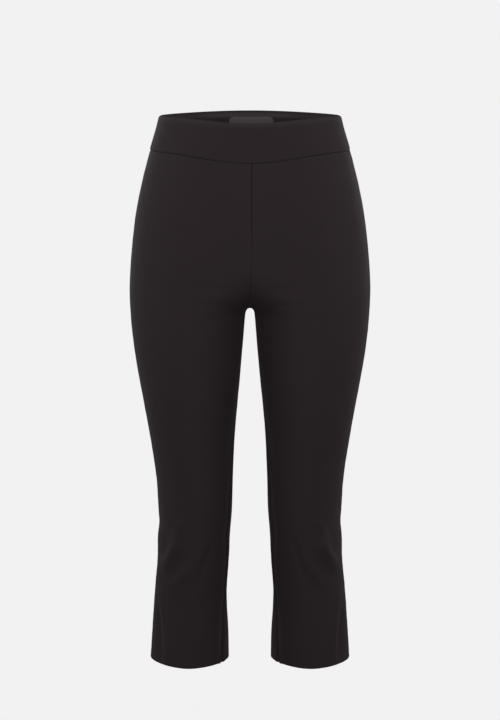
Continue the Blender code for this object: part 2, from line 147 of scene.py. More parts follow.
# Folds in millimetres, from (x1, z1) to (x2, z2) as seen from the front, for
# a leg at +X. side: 1 wearer's left, -1 right, 0 both legs. height: a ridge
# is positive and a trough negative.
Fold = namedtuple("Fold", "face side x1 z1 x2 z2 width height")
FOLDS = (
    # Knees and calves, front.
    Fold("front", 0, 100, -576, 113, -622, 14, 2.0),
    Fold("front", 0, 101, -608, 128, -657, 14, 3.2),
    Fold("front", 0, 90, -622, 114, -668, 13, -1.2),
    Fold("front", -1, 104, -609, 128, -650, 6, 0.8),
    Fold("front", 1, 105, -610, 129, -652, 6, 0.7),
    Fold("front", 0, 134, -562, 122, -592, 14, -1.0),
    Fold("front", 0, 62, -612, 92, -668, 22, 1.5),
    Fold("front", -1, 65, -608, 83, -650, 8, 1.3),
    Fold("front", -1, 82, -644, 116, -682, 9, 1.2),
    Fold("front", -1, 55, -614, 74, -660, 9, -1.4),
    Fold("front", 1, 61, -604, 80, -664, 9, -1.8),
    Fold("front", 1, 70, -600, 90, -658, 9, 1.3),
    Fold("front", 1, 84, -646, 112, -686, 10, 0.8),
    Fold("front", -1, 92, -640, 120, -700, 20, 1.2),
    Fold("front", 1, 70, -640, 100, -690, 18, -1.2),
    Fold("front", -1, 60, -690, 84, -742, 16, -0.7),
    Fold("front", 1, 78, -704, 96, -760, 18, 0.8),
    # Hems.
    Fold("front", 0, 131, -688, 119, -796, 9, 2.2),
    Fold("front", 0, 135, -718, 132, -800, 8, -3.6),
    Fold("front", -1, 42, -740, 40, -800, 12, 1.4),
    Fold("front", 1, 44, -736, 41, -800, 11, 1.3),
    Fold("front", 1, 108, -752, 106, -801, 9, -0.6),
    Fold("front", -1, 64, -758, 62, -801, 10, -0.5),
    Fold("back", 1, 70, -748, 72, -801, 12, 0.8),
    Fold("back", -1, 106, -752, 104, -801, 11, 0.7),
    # Below the crotch and over the hips.
    Fold("front", -1, 30, -236, 84, -233, 10, -0.8),
    Fold("front", 1, 24, -238, 70, -236, 10, -0.7),
    Fold("front", 0, 18, -263, 62, -262, 9, -0.8),
    Fold("front", 0, 26, -250, 80, -249, 10, 0.5),
    Fold("front", -1, 10, -205, 62, -190, 12, -0.4),
    Fold("front", 1, 12, -212, 70, -200, 12, -0.4),
    Fold("front", -1, 36, -74, 92, -66, 11, -0.6),
    Fold("front", 1, 58, -80, 104, -72, 12, -0.4),
    Fold("front", -1, 20, -290, 52, -322, 12, -0.5),
    Fold("front", 1, 18, -286, 46, -330, 13, 0.4),
    # Behind the knees and under the seat.
    Fold("back", 0, 42, -588, 118, -580, 16, -3.0),
    Fold("back", 0, 50, -608, 126, -622, 16, 2.4),
    Fold("back", 0, 44, -634, 104, -640, 18, -2.2),
    Fold("back", 1, 56, -560, 112, -566, 12, 0.9),
    Fold("back", -1, 40, -566, 96, -558, 12, -0.9),
    Fold("back", -1, 62, -654, 118, -664, 14, 0.9),
    Fold("back", 1, 44, -662, 92, -672, 14, -0.8),
    Fold("back", 0, 34, -304, 112, -290, 22, -1.8),
    Fold("back", 0, 40, -330, 100, -316, 22, 1.4),
    Fold("back", 1, 28, -352, 78, -344, 16, -0.6),
    Fold("back", -1, 46, -360, 96, -350, 16, -0.5),
    Fold("back", 1, 14, -236, 50, -258, 14, -0.7),
    Fold("back", -1, 12, -244, 56, -262, 14, -0.7),
    Fold("back", -1, 30, -78, 96, -70, 12, -0.5),
    Fold("back", 1, 44, -74, 104, -80, 12, -0.5),
)

# Painted highlights along the crests of the folds, where the cloth is painted lighter; height: how
# strongly it is painted lighter there.
CREST_HIGHLIGHTS = (
    Fold("front", 0, 108, -590, 129, -662, 9, 5.0),
)

MIRROR = np.array((-1.0, 1.0, 1.0))
UP = np.array((0.0, 0.0, 1.0))

# ------------------------------------------------------------------ grid
COLUMNS = {"front": 52, "back": 46}
# Further columns by the inner edge, for the welts there: their places, in columns.
WELT_COLUMNS = {"front": (1.5, 2.5), "back": (0.6, 0.8, 1.5)}
INNER_SHARE = {"front": 7 / 16, "back": 6 / 14}   # of a row, from its inner edge to its peak
# Beside the crotch a row starts at a height of its own. By FAN_TO of its width
# it has the even one, and the first FAN_FROM of that way keeps to its own.
FAN_TO = 0.45
FAN_FROM = 0.3
ANCHOR_FROM = -0.080        # columns leave their even spacing here
ANCHOR_BY = -0.200          # and keep to the peaks from here down
EDGE_STEPS = np.array((0.5, 1.1, 1.8)) * MM   # extra rows and columns beside a seam
HIP_ROWS = 34
CURVE_ROWS = 26
# Rows below the crotch, closest where the legs part.
FORK_DEPTHS = np.array((0.08, 0.3, 0.7, 1.3, 2.1, 3.2, 4.6, 6.5, 9.5, 13.0, 17.0)) * MM
THIGH_ROWS = 56
CALF_ROWS = 52
BAND_ROWS = 16
BAND_COLUMNS = 44
TURN_STEPS = 6              # steps round a hem's folded edge
BAND_TURN_STEPS = 8         # and round the waist's
CURVE_SAMPLES = 40          # points of a quarter turn
SEAM_SAMPLES = 5            # and of what the front hands to the back
SHARP_ANGLE = 50.0          # degrees
HALF_GAP = 0.01 * MM        # sewn edges meet this close to their seam line
FRONT_SEAM_LEAN = 2.4 * MM  # how far the front seam lies to the wearer's left
LEAN_FULL_Z = -0.165        # from here up; it comes back to the middle at the crotch
LEAN_REACH = 32.0 * MM      # and it dies away to the sides

# ----------------------------------------------------------------- relief
SEAM_ROLL = {"depth": 0.75 * MM, "width": 1.3 * MM}
SEAM_PLATEAU = {"height": 0.28 * MM, "from": 6.0 * MM, "to": 10.5 * MM}
BAND_FLATTER = 0.5          # share of that height which the band's side seams lack
# The centre and inner seams sit flattest around the crotch.
SEAM_FADE = {"middle": -0.270, "from": 0.085, "reach": 0.035, "least": 0.30}
# Lower down, the inseam rolls into a pair of welts. apart: from the seam to
# each. deeper: how much further the seam sinks. pressed: the share of a welt
# that the hem presses flat. shade and shade_reach: the painted shade in the
# seam between the welts, and its reach. The last value: the painted highlight
# on the welts.
WELT = {
    "height": 1.8 * MM, "apart": 5.6 * MM, "width": 3.0 * MM, "deeper": 1.2 * MM,
    "from_z": -0.400, "full_z": -0.520, "pressed": 0.5, "hem_reach": 26.0 * MM,
    "shade": 0.9, "shade_reach": 2.3 * MM, "worn": 2.6,
}
PUCKER = {"height": 0.16 * MM, "reach": 6.0 * MM, "waves": (11.0 * MM, 17.0 * MM)}
# Where the puckers' waves start, in radians, so that no two seams are alike.
PHASE = {"front": 0.0, "back": 1.3, "band": 0.4, "side_seam": 2.1, "each_side": 0.7}
BAND_EDGE = {"depth": 0.75 * MM, "width": 1.1 * MM}
SEAM_SHADE_REACH = 0.9 * MM           # reach of the painted shade in a seam
# Painted highlight beside a seam, and how far up from a hem it is painted.
SEAM_AND_HEM_HIGHLIGHT = {"from": 2.4 * MM, "reach": 1.6 * MM, "hem": 2.4 * MM}
# Painted highlight along the waist's folded edge: how much paler it is painted,
# and how far down the band's outer and inner face. Inside it is painted less
# pale towards the side seams, a painted shade there.
EDGE_HIGHLIGHT = {
    "outer": 0.28, "outer_reach": 4.0 * MM, "fold": 0.12, "inner_rise": 1.6 * MM,
    "inner_from": 6.5 * MM, "inner_to": 10.0 * MM,
    "side_less": 0.6, "side_from": 0.040, "side_to": 0.090,
}
# Slack of the cloth: the height of each swell, and its size across and along a leg.
Swell = namedtuple("Swell", "height across along")
SLACK = (
    Swell(0.45 * MM, 0.060, 0.110),
    Swell(0.16 * MM, 0.022, 0.034),
    Swell(0.05 * MM, 0.008, 0.010),
)

# ------------------------------------------------------------------- cuts
# Flat cut of each piece with its seam and hem allowances: width, length and
# area, in metres.
Cut = namedtuple("Cut", "width length area")


# ---------------------------------------------------------------- settings
class CapriClothSettings(bpy.types.PropertyGroup):
    """Sizes and colours of the cloth."""

    thickness: bpy.props.FloatProperty(
        name="Thickness", description="Thickness of one layer of twill",
        default=0.8 * MM, min=0.3 * MM, max=0.9 * MM, unit="LENGTH",
    )
    hem_depth: bpy.props.FloatProperty(
        name="Hem depth", description="Height of the turned-up hem",
        default=25.0 * MM, min=10.0 * MM, max=50.0 * MM, unit="LENGTH",
    )
    dark: bpy.props.FloatVectorProperty(
        name="Dark yarn", description="Colour of the deeper yarns",
        default=(0.0136, 0.0102, 0.0112), min=0.0, max=1.0, subtype="COLOR",
    )
    light: bpy.props.FloatVectorProperty(
        name="Light yarn", description="Colour of the yarns that catch the light",
        default=(0.0202, 0.0151, 0.0167), min=0.0, max=1.0, subtype="COLOR",
    )
    # The colour of a painted highlight along the waist's folded edge.
    painted_edge_highlight: bpy.props.FloatVectorProperty(
        name="Painted edge highlight", description="Colour of the cloth along the folded edge of the waist",
        default=(0.0345, 0.0295, 0.0308), min=0.0, max=1.0, subtype="COLOR",
    )
    weave: bpy.props.FloatProperty(
        name="Weave", description="Distance between two twill lines",
        default=0.75 * MM, min=0.3 * MM, max=3.0 * MM, unit="LENGTH",
    )


class CapriLabelSettings(bpy.types.PropertyGroup):
    """Size and colour of the blank label."""

    half_width: bpy.props.FloatProperty(
        name="Half width", description="Half of the label's width",
        default=33.0 * MM, min=10.0 * MM, max=50.0 * MM, unit="LENGTH",
    )
    top: bpy.props.FloatProperty(
        name="Top", description="Height of the label's upper edge",
        default=-5.5 * MM, unit="LENGTH",
    )
    bottom: bpy.props.FloatProperty(
        name="Bottom", description="Height of the label's lower edge",
        default=-29.0 * MM, unit="LENGTH",
    )
    colour: bpy.props.FloatVectorProperty(
        name="Colour", description="Colour of the label's ribbon",
        default=(0.0350, 0.0288, 0.0302), min=0.0, max=1.0, subtype="COLOR",
    )


class CapriStageSettings(bpy.types.PropertyGroup):
    """Floor and lights."""

    floor_z: bpy.props.FloatProperty(
        name="Floor", description="Height of the floor",
        default=-1.35, unit="LENGTH",
    )
    backdrop: bpy.props.FloatProperty(
        name="Backdrop", description="Lightness of the room behind",
        default=0.888, min=0.0, max=1.0, subtype="FACTOR",
    )
    room_light: bpy.props.FloatProperty(
        name="Room light", description="Strength of the even light from all sides",
        default=0.29, min=0.0, max=5.0,
    )
    floor_light: bpy.props.FloatProperty(
        name="Floor light", description="Strength of the light that falls on the floor",
        default=2.333, min=0.0, max=10.0,
    )
    key_power: bpy.props.FloatProperty(
        name="Key light", description="Power of the large light at the front",
        default=36.5, min=0.0, max=500.0, unit="POWER",
    )
    side_power: bpy.props.FloatProperty(
        name="Side lights", description="Power of each light at the sides",
        default=26.0, min=0.0, max=500.0, unit="POWER",
    )
    back_power: bpy.props.FloatProperty(
        name="Back lights", description="Power of each light behind",
        default=9.5, min=0.0, max=500.0, unit="POWER",
    )


# ---------------------------------------------------------------- sections
@lru_cache(maxsize=None)
def table_curves(table):
    """A table's rows from the lowest up, in metres, and their slopes."""
    rows = np.array(table, float)[::-1] * MM
    return rows, np.gradient(rows, rows[:, 0], axis=0)


def read_table(table, z):
    """A table's values at height z, on smooth curves through its rows."""
    rows, slopes = table_curves(table)
    heights = rows[:, 0]
    z = min(max(z, heights[0]), heights[-1])
    low = min(np.searchsorted(heights, z, side="right") - 1, len(heights) - 2)
    span = heights[low + 1] - heights[low]
    t = (z - heights[low]) / span
    rise = t * t * (3.0 - 2.0 * t)
    values = (
        rows[low] * (1.0 - rise)
        + rows[low + 1] * rise
        + slopes[low] * span * t * (1.0 - t) ** 2
        - slopes[low + 1] * span * t * t * (1.0 - t)
    )
    return type(table[0])(*values)


def turn_rise(t, roundness):
    """How far a quarter turn has risen towards its peak, for t from 0 to 1."""
    return 3.0 * t * (1.0 - t) ** 2 * roundness + 3.0 * t * t * (1.0 - t) + t ** 3


def quarter(edge, hollow_y, peak, roundness):
    """A quarter turn from an edge to a peak, about a hollow at hollow_y.

    The full turn starts level with the hollow. One that starts nearer the
    peak, as over a centre seam, is the rest of the same turn, drawn wider.
    """
    t = np.linspace(0.0, 1.0, CURVE_SAMPLES)
    reached = min((edge[1] - hollow_y) / (peak[1] - hollow_y), NEARLY_FLAT)
    t = np.linspace(np.interp(reached, turn_rise(t, roundness), t), 1.0, CURVE_SAMPLES)
    run = 3.0 * t * t * (1.0 - t) * (1.0 - roundness) + t ** 3
    run = (run - run[0]) / (1.0 - run[0])
    x = edge[0] + (peak[0] - edge[0]) * run
    y = hollow_y + (peak[1] - hollow_y) * turn_rise(t, roundness)
    return np.stack((x, y), axis=1)


def centre_seam(z, top_y, curve):
    """How far back the centre seam is at height z."""
    share = min(max((curve["from_z"] - z) / (curve["from_z"] - CROTCH_Z), 0.0), 1.0)
    power = curve["fullness"]
    turn = 1.0 - (1.0 - share ** power) ** (1.0 / power)
    return top_y + (CROTCH_Y - top_y) * turn


def inner_turn(z, inner, peak, top_y, curve, roundness):
    """The turn from a centre seam or inseam to the line that stands out most.

    Near the crotch the cloth bridges the two legs, so the turn starts
    closer to the centre than the leg's own side.
    """
    if z > CROTCH_Z:
        hollow_y = CROTCH_Y
        bridge = max(1.0 - (z - CROTCH_Z) / BRIDGE["height"], 0.0) ** 2
        leg_edge = (inner.inner_x * bridge, centre_seam(z, top_y, curve))
    else:
        hollow_y = inner.inner_y
        bridge = 1.0
        leg_edge = (inner.inner_x, hollow_y)
    turn = quarter(leg_edge, hollow_y, peak, roundness)
    reach = BRIDGE["reach"] * max(bridge, BRIDGE["least"])
    apart = np.abs(turn[:, 1] - leg_edge[1])
    left = 1.0 - min(max(CROTCH_Z - z, 0.0) / FORK_RADIUS, 1.0)
    arch = 1.0 - np.sqrt(1.0 - left * left)
    turn[:, 0] -= leg_edge[0] * arch * np.exp(-((apart / reach) ** 2))
    return turn


def distances(curve):
    """Distance of each point of a curve from its start."""
    steps = np.linalg.norm(np.diff(curve, axis=0), axis=1)
    return np.concatenate(((0.0,), np.cumsum(steps)))


def along(curve, wanted):
    """Points at the wanted distances along a curve."""
    reached = distances(curve)
    return np.stack([np.interp(wanted, reached, curve[:, axis]) for axis in range(2)], axis=1)


def move_seams(front, back, inseam_forward, side_forward):
    """Hand the ends of the front's curve to the back, where seams lie forward."""
    reached = distances(front)
    start, stop = inseam_forward, reached[-1] - side_forward
    kept = reached[(reached > start) & (reached < stop)]
    new_front = along(front, np.concatenate(((start,), kept, (stop,))))
    parts = [back]
    if inseam_forward > 0.0:
        parts.insert(0, along(front, np.linspace(start, 0.0, SEAM_SAMPLES))[:-1])
    if side_forward > 0.0:
        parts.append(along(front, np.linspace(reached[-1], stop, SEAM_SAMPLES))[1:])
    return new_front, np.vstack(parts)


@lru_cache(maxsize=None)
def section(z):
    """Plan curves of the +X side at height z: for each face its curve, from
    the centre to the side, the distances along it and its peak's distance."""
    body = read_table(SECTIONS, z)
    inner = read_table(INNER_SIDE, z)
    roundness = body.roundness / MM
    side = (body.side_x, body.side_y)
    faces = (
        ((body.front_x, body.front_y), body.front_y + body.front_dip, FRONT_CURVE),
        ((body.back_x, body.back_y), body.back_y - body.back_dip, BACK_CURVE),
    )
    front, back = [
        np.vstack((
            inner_turn(z, inner, peak, top_y, curve, roundness),
            quarter(side, side[1], peak, roundness)[-2::-1],
        ))
        for peak, top_y, curve in faces
    ]
    peaks = [distances(curve)[CURVE_SAMPLES - 1] for curve in (front, back)]
    if z < CROTCH_Z:
        forward = inner.inseam_forward, inner.side_forward
        front, back = move_seams(front, back, *forward)
        peaks = [peaks[0] - forward[0], peaks[1] + forward[0]]
    return {
        "front": (front, distances(front), peaks[0]),
        "back": (back, distances(back), peaks[1]),
    }


# -------------------------------------------------------------------- rows
def ease(share):
    """A share from 0 to 1, with a soft start and end."""
    share = np.clip(share, 0.0, 1.0)
    return share * share * (3.0 - 2.0 * share)


def line_height(line, face, share):
    """Height of a shaped line, for a share of the way from centre to side."""
    dip = np.cos(0.5 * np.pi * np.sin(0.5 * np.pi * share)) ** 2
    side = line["side"] - line["corner"] * np.exp(-(((1.0 - share) / CORNER) ** 2))
    if face == "front":
        return side - line["front_drop"] * dip
    return side + line["back_rise"] * dip ** line["back_power"]


def column_places(count, more=()):
    """Share of a row, and distance from there, for each of its columns.

    Closer columns stand beside the two seams, where the cloth rolls in. more
    are the places of further ones, counted in columns.
    """
    middle = np.sort(np.concatenate((np.arange(1, count), more))) / count
    shares = np.concatenate((np.zeros(len(EDGE_STEPS) + 1), middle, np.ones(len(EDGE_STEPS) + 1)))
    offsets = np.zeros(len(shares))
    offsets[1:len(EDGE_STEPS) + 1] = EDGE_STEPS
    offsets[-len(EDGE_STEPS) - 1:-1] = -EDGE_STEPS[::-1]
    return shares, offsets


def row_points(face, heights, shares, offsets):
    """Points of one row from the inner edge to the side, each at its height."""
    edge_peak = section(heights[0])[face][2]
    inner_share = INNER_SHARE[face]
    points = []
    for z, share, offset in zip(heights, shares, offsets):
        curve, reached, peak = section(z)[face]
        length = reached[-1]
        if share < inner_share:
            anchored = peak - edge_peak * (1.0 - share / inner_share)
        else:
            anchored = peak + (length - peak) * (share - inner_share) / (1.0 - inner_share)
        even = length * share
        weight = ease((ANCHOR_FROM - z) / (ANCHOR_FROM - ANCHOR_BY))
        wanted = even + (anchored - even) * weight + offset
        points.append((
            np.interp(wanted, reached, curve[:, 0]), np.interp(wanted, reached, curve[:, 1]), z
        ))
    return points


def row_levels():
    """Heights of every row of a leg piece, at its inner edge and further out."""
    top = BAND_SEAM["side"] - HALF_GAP
    curve_from = FRONT_CURVE["from_z"]
    hip = np.linspace(top, curve_from, HIP_ROWS + 1)
    hip = np.concatenate((hip[:1], top - EDGE_STEPS, hip[1:-1]))
    turn = np.sin(0.5 * np.pi * np.linspace(0.0, 1.0, CURVE_ROWS + 1))
    curve = curve_from + (CROTCH_Z - curve_from) * turn
    fork = CROTCH_Z - FORK_DEPTHS
    thigh = np.linspace(fork[-1], KNEE_Z, THIGH_ROWS + 1)[1:]
    calf = np.linspace(KNEE_Z, HEM_Z + 0.5 * LEG_IN, CALF_ROWS + 1)[1:]
    even = np.linspace(curve_from, fork[-1], CURVE_ROWS + 1 + len(fork))
    inner_levels = np.concatenate((hip, curve, fork, thigh, calf))
    outer_levels = np.concatenate((hip, even, thigh, calf))
    return inner_levels, outer_levels, len(hip) + CURVE_ROWS


def leg_surface():
    """Rows of points of one whole side, the crotch row and the side column."""
    inner_levels, outer_levels, crotch_row = row_levels()
    top = inner_levels[0]
    rows = []
    for inner_level, outer_level in zip(inner_levels, outer_levels):
        fade = min(max((inner_level - LINES_LEVEL_BY) / (top - LINES_LEVEL_BY), 0.0), 1.0)
        row = {}
        for face, count in COLUMNS.items():
            shares, offsets = column_places(count, WELT_COLUMNS[face])
            outward_share = ease((shares / FAN_TO - FAN_FROM) / (1.0 - FAN_FROM))
            heights = inner_level + (outer_level - inner_level) * outward_share
            heights += fade * (line_height(BAND_SEAM, face, shares) - BAND_SEAM["side"])
            row[face] = row_points(face, heights, shares, offsets)
        rows.append(row["front"] + row["back"][-2::-1])
    return soften_fork(np.array(rows), crotch_row), crotch_row, len(row["front"]) - 1


def soften_fork(grid, crotch_row):
    """Smooth the form up and down beside the place where the legs part."""
    run = arc_from(grid, 1)[crotch_row]
    for column, apart in enumerate(np.minimum(run, run[-1] - run)):
        size = FORK_SOFT["size"] * (1.0 - np.exp(-((apart / FORK_SOFT["apart"]) ** 2)))
        if size < FORK_SOFT["least"]:
            continue
        z = grid[:, column, 2]
        weights = np.exp(-0.5 * ((z[:, None] - z) / size) ** 2) * np.abs(np.gradient(z))
        smooth = weights @ grid[:, column, :2] / weights.sum(axis=1, keepdims=True)
        share = ease(2.0 - np.abs(z - CROTCH_Z) / (FORK_SOFT["span"] * size))[:, None]
        grid[:, column, :2] += share * (smooth - grid[:, column, :2])
    return grid


def unit(vectors):
    """The same vectors at length one."""
    return vectors / np.linalg.norm(vectors, axis=-1, keepdims=True)


def outward(grid, before, after):
    """Unit normals of a grid, given the columns next to its two edges."""
    wide = np.concatenate((before[:, None], grid, after[:, None]), axis=1)
    across = wide[:, 2:] - wide[:, :-2]
    down = np.gradient(grid, axis=0)
    return unit(np.cross(down, across))


def leg_normals(grid, crotch_row):
    """Normals of one side, smooth over the centre seams and the inseam."""
    before, after = grid[:, -2].copy(), grid[:, 1].copy()
    before[: crotch_row + 1] = grid[: crotch_row + 1, 1] * MIRROR
    after[: crotch_row + 1] = grid[: crotch_row + 1, -2] * MIRROR
    normals = outward(grid, before, after)
    shared = unit(normals[crotch_row:, 0] + normals[crotch_row:, -1])
    normals[crotch_row:, 0] = shared
    normals[crotch_row:, -1] = shared
    return normals


# ------------------------------------------------------------------ relief
def fold_height(folds, grid, side_y, side):
    """Height of the folds at each point of a leg, along its normal."""
    x, y, z = grid[..., 0], grid[..., 1], grid[..., 2]
    height = np.zeros(x.shape)
    for fold in folds:
        if fold.side not in (0, side):
            continue
        start = np.array((fold.x1, fold.z1)) * MM
        run = np.array((fold.x2, fold.z2)) * MM - start
        t = ((x - start[0]) * run[0] + (z - start[1]) * run[1]) / (run @ run)
        t = np.clip(t, 0.0, 1.0)
        apart = np.hypot(x - start[0] - t * run[0], z - start[1] - t * run[1])
        taper = np.sqrt(np.clip(4.0 * t * (1.0 - t), 0.0, 1.0))
        on_face = y < side_y if fold.face == "front" else y > side_y
        spread = np.exp(-((2.0 * apart / (fold.width * MM)) ** 2))
        height += on_face * taper * spread * fold.height * MM
    return height


def slack_height(grid, side):
    """Gentle uneven swells of the cloth, different on each side."""
    height = np.zeros(grid.shape[:2])
    for row, points in enumerate(grid):
        for column, (x, y, z) in enumerate(points):
            for swell in SLACK:
                place = Vector((side * x / swell.across, y / swell.across, z / swell.along))
                height[row, column] += swell.height * noise.noise(place)
    return height


def arc_from(points, axis):
    """Distance of each grid point from the first one of its row or column."""
    steps = np.linalg.norm(np.diff(points, axis=axis), axis=-1)
    start = np.zeros_like(np.take(steps, (0,), axis=axis))
    return np.concatenate((start, np.cumsum(steps, axis=axis)), axis=axis)


def seam_height(apart, run, phase):
    """Relief beside a seam: rolled in at the edge, padded by the seam allowance
    under it and slightly puckered. apart is the distance from the seam."""
    roll = -SEAM_ROLL["depth"] * np.exp(-((apart / SEAM_ROLL["width"]) ** 2))
    pad = 1.0 - ease((apart - SEAM_PLATEAU["from"]) / (SEAM_PLATEAU["to"] - SEAM_PLATEAU["from"]))
    short, long = PUCKER["waves"]
    ripple = np.sin(2.0 * np.pi * run / short + phase)
    ripple *= np.sin(2.0 * np.pi * run / long + 2.0 * phase)
    pucker = PUCKER["height"] * ripple * np.exp(-((apart / PUCKER["reach"]) ** 2))
    return roll + SEAM_PLATEAU["height"] * pad + pucker


def seam_marks(apart):
    """Painted shade in a seam and a painted highlight beside it, at each distance from the seam."""
    painted_seam_shade = np.exp(-((apart / SEAM_SHADE_REACH) ** 2))
    worn = np.exp(-(((apart - SEAM_AND_HEM_HIGHLIGHT["from"]) / SEAM_AND_HEM_HIGHLIGHT["reach"]) ** 2))
    return np.stack((painted_seam_shade, worn))


def edge_height(apart):
    """Relief beside the band's seam, where both edges roll in."""
    return -BAND_EDGE["depth"] * np.exp(-((apart / BAND_EDGE["width"]) ** 2))


# ------------------------------------------------------------------ sheets
def sheet_object(name, points, outside, thickness, finish, marks=None):
    """A sheet of cloth through a grid of points, thickened away from outside.

    Its UV map is the distance across and along the cloth, in metres. marks
    are shares at each point, such as of painted shade or a painted highlight,
    by the name of their attribute.
    """
    rows, columns = points.shape[:2]
    index = np.arange(rows * columns).reshape(rows, columns)
    quads = np.stack((index[:-1, :-1], index[1:, :-1], index[1:, 1:], index[:-1, 1:]), axis=-1)
    quads = quads.reshape(-1, 4)
    flat_points = points.reshape(-1, 3)
    corners = flat_points[quads]
    facing = np.cross(corners[:, 2] - corners[:, 0], corners[:, 3] - corners[:, 1])
    if (facing * outside.reshape(-1, 3)[quads[:, 0]]).sum() < 0.0:
        quads = quads[:, ::-1]
    mesh = bpy.data.meshes.new(name)
    mesh.from_pydata(flat_points.tolist(), [], quads.tolist())
    across = arc_from(points, 1)
    across = across - across[:, columns // 2][:, None]
    cloth_map = np.stack((across, -arc_from(points, 0)), axis=-1).reshape(-1, 2)
    uv = mesh.uv_layers.new(name="cloth")
    uv.data.foreach_set("uv", cloth_map[quads.ravel()].ravel())
    for mark, shares in (marks or {}).items():
        mesh.attributes.new(mark, "FLOAT", "POINT").data.foreach_set("value", shares.ravel())
    piece = bpy.data.objects.new(name, mesh)
    piece.data.materials.append(finish)
    bpy.context.scene.collection.objects.link(piece)
    wall = piece.modifiers.new("wall", "SOLIDIFY")
    wall.thickness = thickness
    wall.offset = -1.0
    apply_modifier(piece, wall)
    piece.data.shade_smooth()
    piece.data.set_sharp_from_angle(angle=np.radians(SHARP_ANGLE))
    return piece


def apply_modifier(piece, modifier):
    """Bake one modifier into its piece, as from the modifier's own menu."""
    select_only(piece)
    bpy.ops.object.modifier_apply(modifier=modifier.name)


def select_only(piece):
    """Make a piece the active object and the only selected one."""
    bpy.ops.object.select_all(action="DESELECT")
    piece.select_set(True)
    bpy.context.view_layer.objects.active = piece


def settle(piece, node):
    """Hand a finished piece to the frame, in place of its solid."""
    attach(piece, BODY)
    if node:
        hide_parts(node)


# ---------------------------------------------------------------- materials
def add_node(tree, kind, inputs=None, **settings):
    """A new shader node with its settings, and its inputs set or linked."""
    made = tree.nodes.new(kind)
    for name, value in settings.items():
        setattr(made, name, value)
    for socket, value in (inputs or {}).items():
        if isinstance(value, bpy.types.NodeSocket):
            tree.links.new(value, made.inputs[socket])
        else:
            made.inputs[socket].default_value = value
    return made


def rgb_mix(tree, share, low, high):
    """The mix of two colours, each an even one or another node's output."""
    made = add_node(tree, "ShaderNodeMix", {"Factor": share, 6: low, 7: high}, data_type="RGBA")
    return made.outputs[2]


def value_mix(tree, share, low, high):
    """The mix of two other nodes' values."""
    inputs = {"Factor": share, "A": low, "B": high}
    return add_node(tree, "ShaderNodeMix", inputs, data_type="FLOAT").outputs["Result"]


def calculate(tree, operation, *values):
    """A sum with even values or other nodes' outputs."""
    made = add_node(tree, "ShaderNodeMath", dict(enumerate(values)), operation=operation)
    return made.outputs[0]


def waves(tree, place, apart, direction, more):
    """Soft lines that lie this far apart. more are the texture's other inputs."""
    made = add_node(
        tree, "ShaderNodeTexWave", {"Vector": place, "Scale": WAVE_UNIT / apart, **more},
        wave_type="BANDS", bands_direction=direction, wave_profile="SIN",
    )
    return made.outputs["Fac"]


def blotches(tree, place, size, more):
    """Soft noise of this size. more are the texture's other inputs."""
    made = add_node(tree, "ShaderNodeTexNoise", {"Vector": place, "Scale": 1.0 / size, **more})
    return made.outputs["Fac"]


def cloth_mark(tree, name):
    """One of the cloth's marks, such as its wear, at each point."""
    return add_node(tree, "ShaderNodeAttribute", attribute_name=name).outputs["Fac"]


def bump(tree, strength, depth, height, **below):
    """The normal of a fine relief, on the plain surface or on another normal."""
    inputs = {"Strength": strength, "Distance": depth, "Height": height, **below}
    return add_node(tree, "ShaderNodeBump", inputs).outputs["Normal"]


def two_tones(colour, spread):
    """A darker and a lighter tone of a colour, this share away from it."""
    return [tuple(tone * c for c in colour) + (1.0,) for tone in (1.0 - spread, 1.0 + spread)]


def new_material(name, shader_inputs):
    """An empty material with its shader's even values set; returns its parts."""
    made = bpy.data.materials.new(name)
    made.use_nodes = True
    shader = made.node_tree.nodes["Principled BSDF"]
    for socket, value in shader_inputs.items():
        shader.inputs[socket].default_value = value
    return made, made.node_tree, shader


BLACK = (0.0, 0.0, 0.0, 1.0)
WAVE_UNIT = 0.3141593       # length of one wave of a Wave Texture at scale 1
TWILL_ANGLE = 0.44          # slope of the twill lines, in radians
YARN_SHARE = 0.55           # yarn spacing as a share of the twill spacing
TONE_SIZE = 0.085           # size of the slow changes of tone
FLECK_WIDTH = 1.6 * MM
FLECK_SHAPE = (1.0, 0.25, 1.0)   # a fleck is four times as long as it is wide
YARN_WEIGHT = 0.35          # of the yarns in the weave, the rest being twill lines
FLECK_WEIGHT = 0.45         # of the flecks in the mottle, the rest being slow tone
WEAVE_WEIGHT = 0.30         # of the weave in the cloth's colour, the rest being mottle
HIGHLIGHT_TONE = 0.14            # painted highlight: cloth is painted this much nearer to the light yarn
EDGE_HIGHLIGHT_SPREAD = 0.15        # contrast of the weave in the painted highlight along the waist's folded edge
SEAM_SHADE_STRENGTH = 0.45         # painted shade: a seam's bottom is painted this much darker
WEAVE_DEPTH = 0.12 * MM
NAP_DEPTH = 0.10 * MM
PLY = 0.35 * MM             # from ply to ply of the thread
PLY_DEPTH = 0.05 * MM
RIB = 0.5 * MM              # from weft to weft of the label's ribbon
WARP = 0.35 * MM
WARP_WEIGHT = 0.4           # of the warp in the ribbon's weave
RIBBON_TONE_SIZE = 6.25 * MM
RIBBON_SPREAD = 0.2
RIBBON_DEPTH = 0.10 * MM


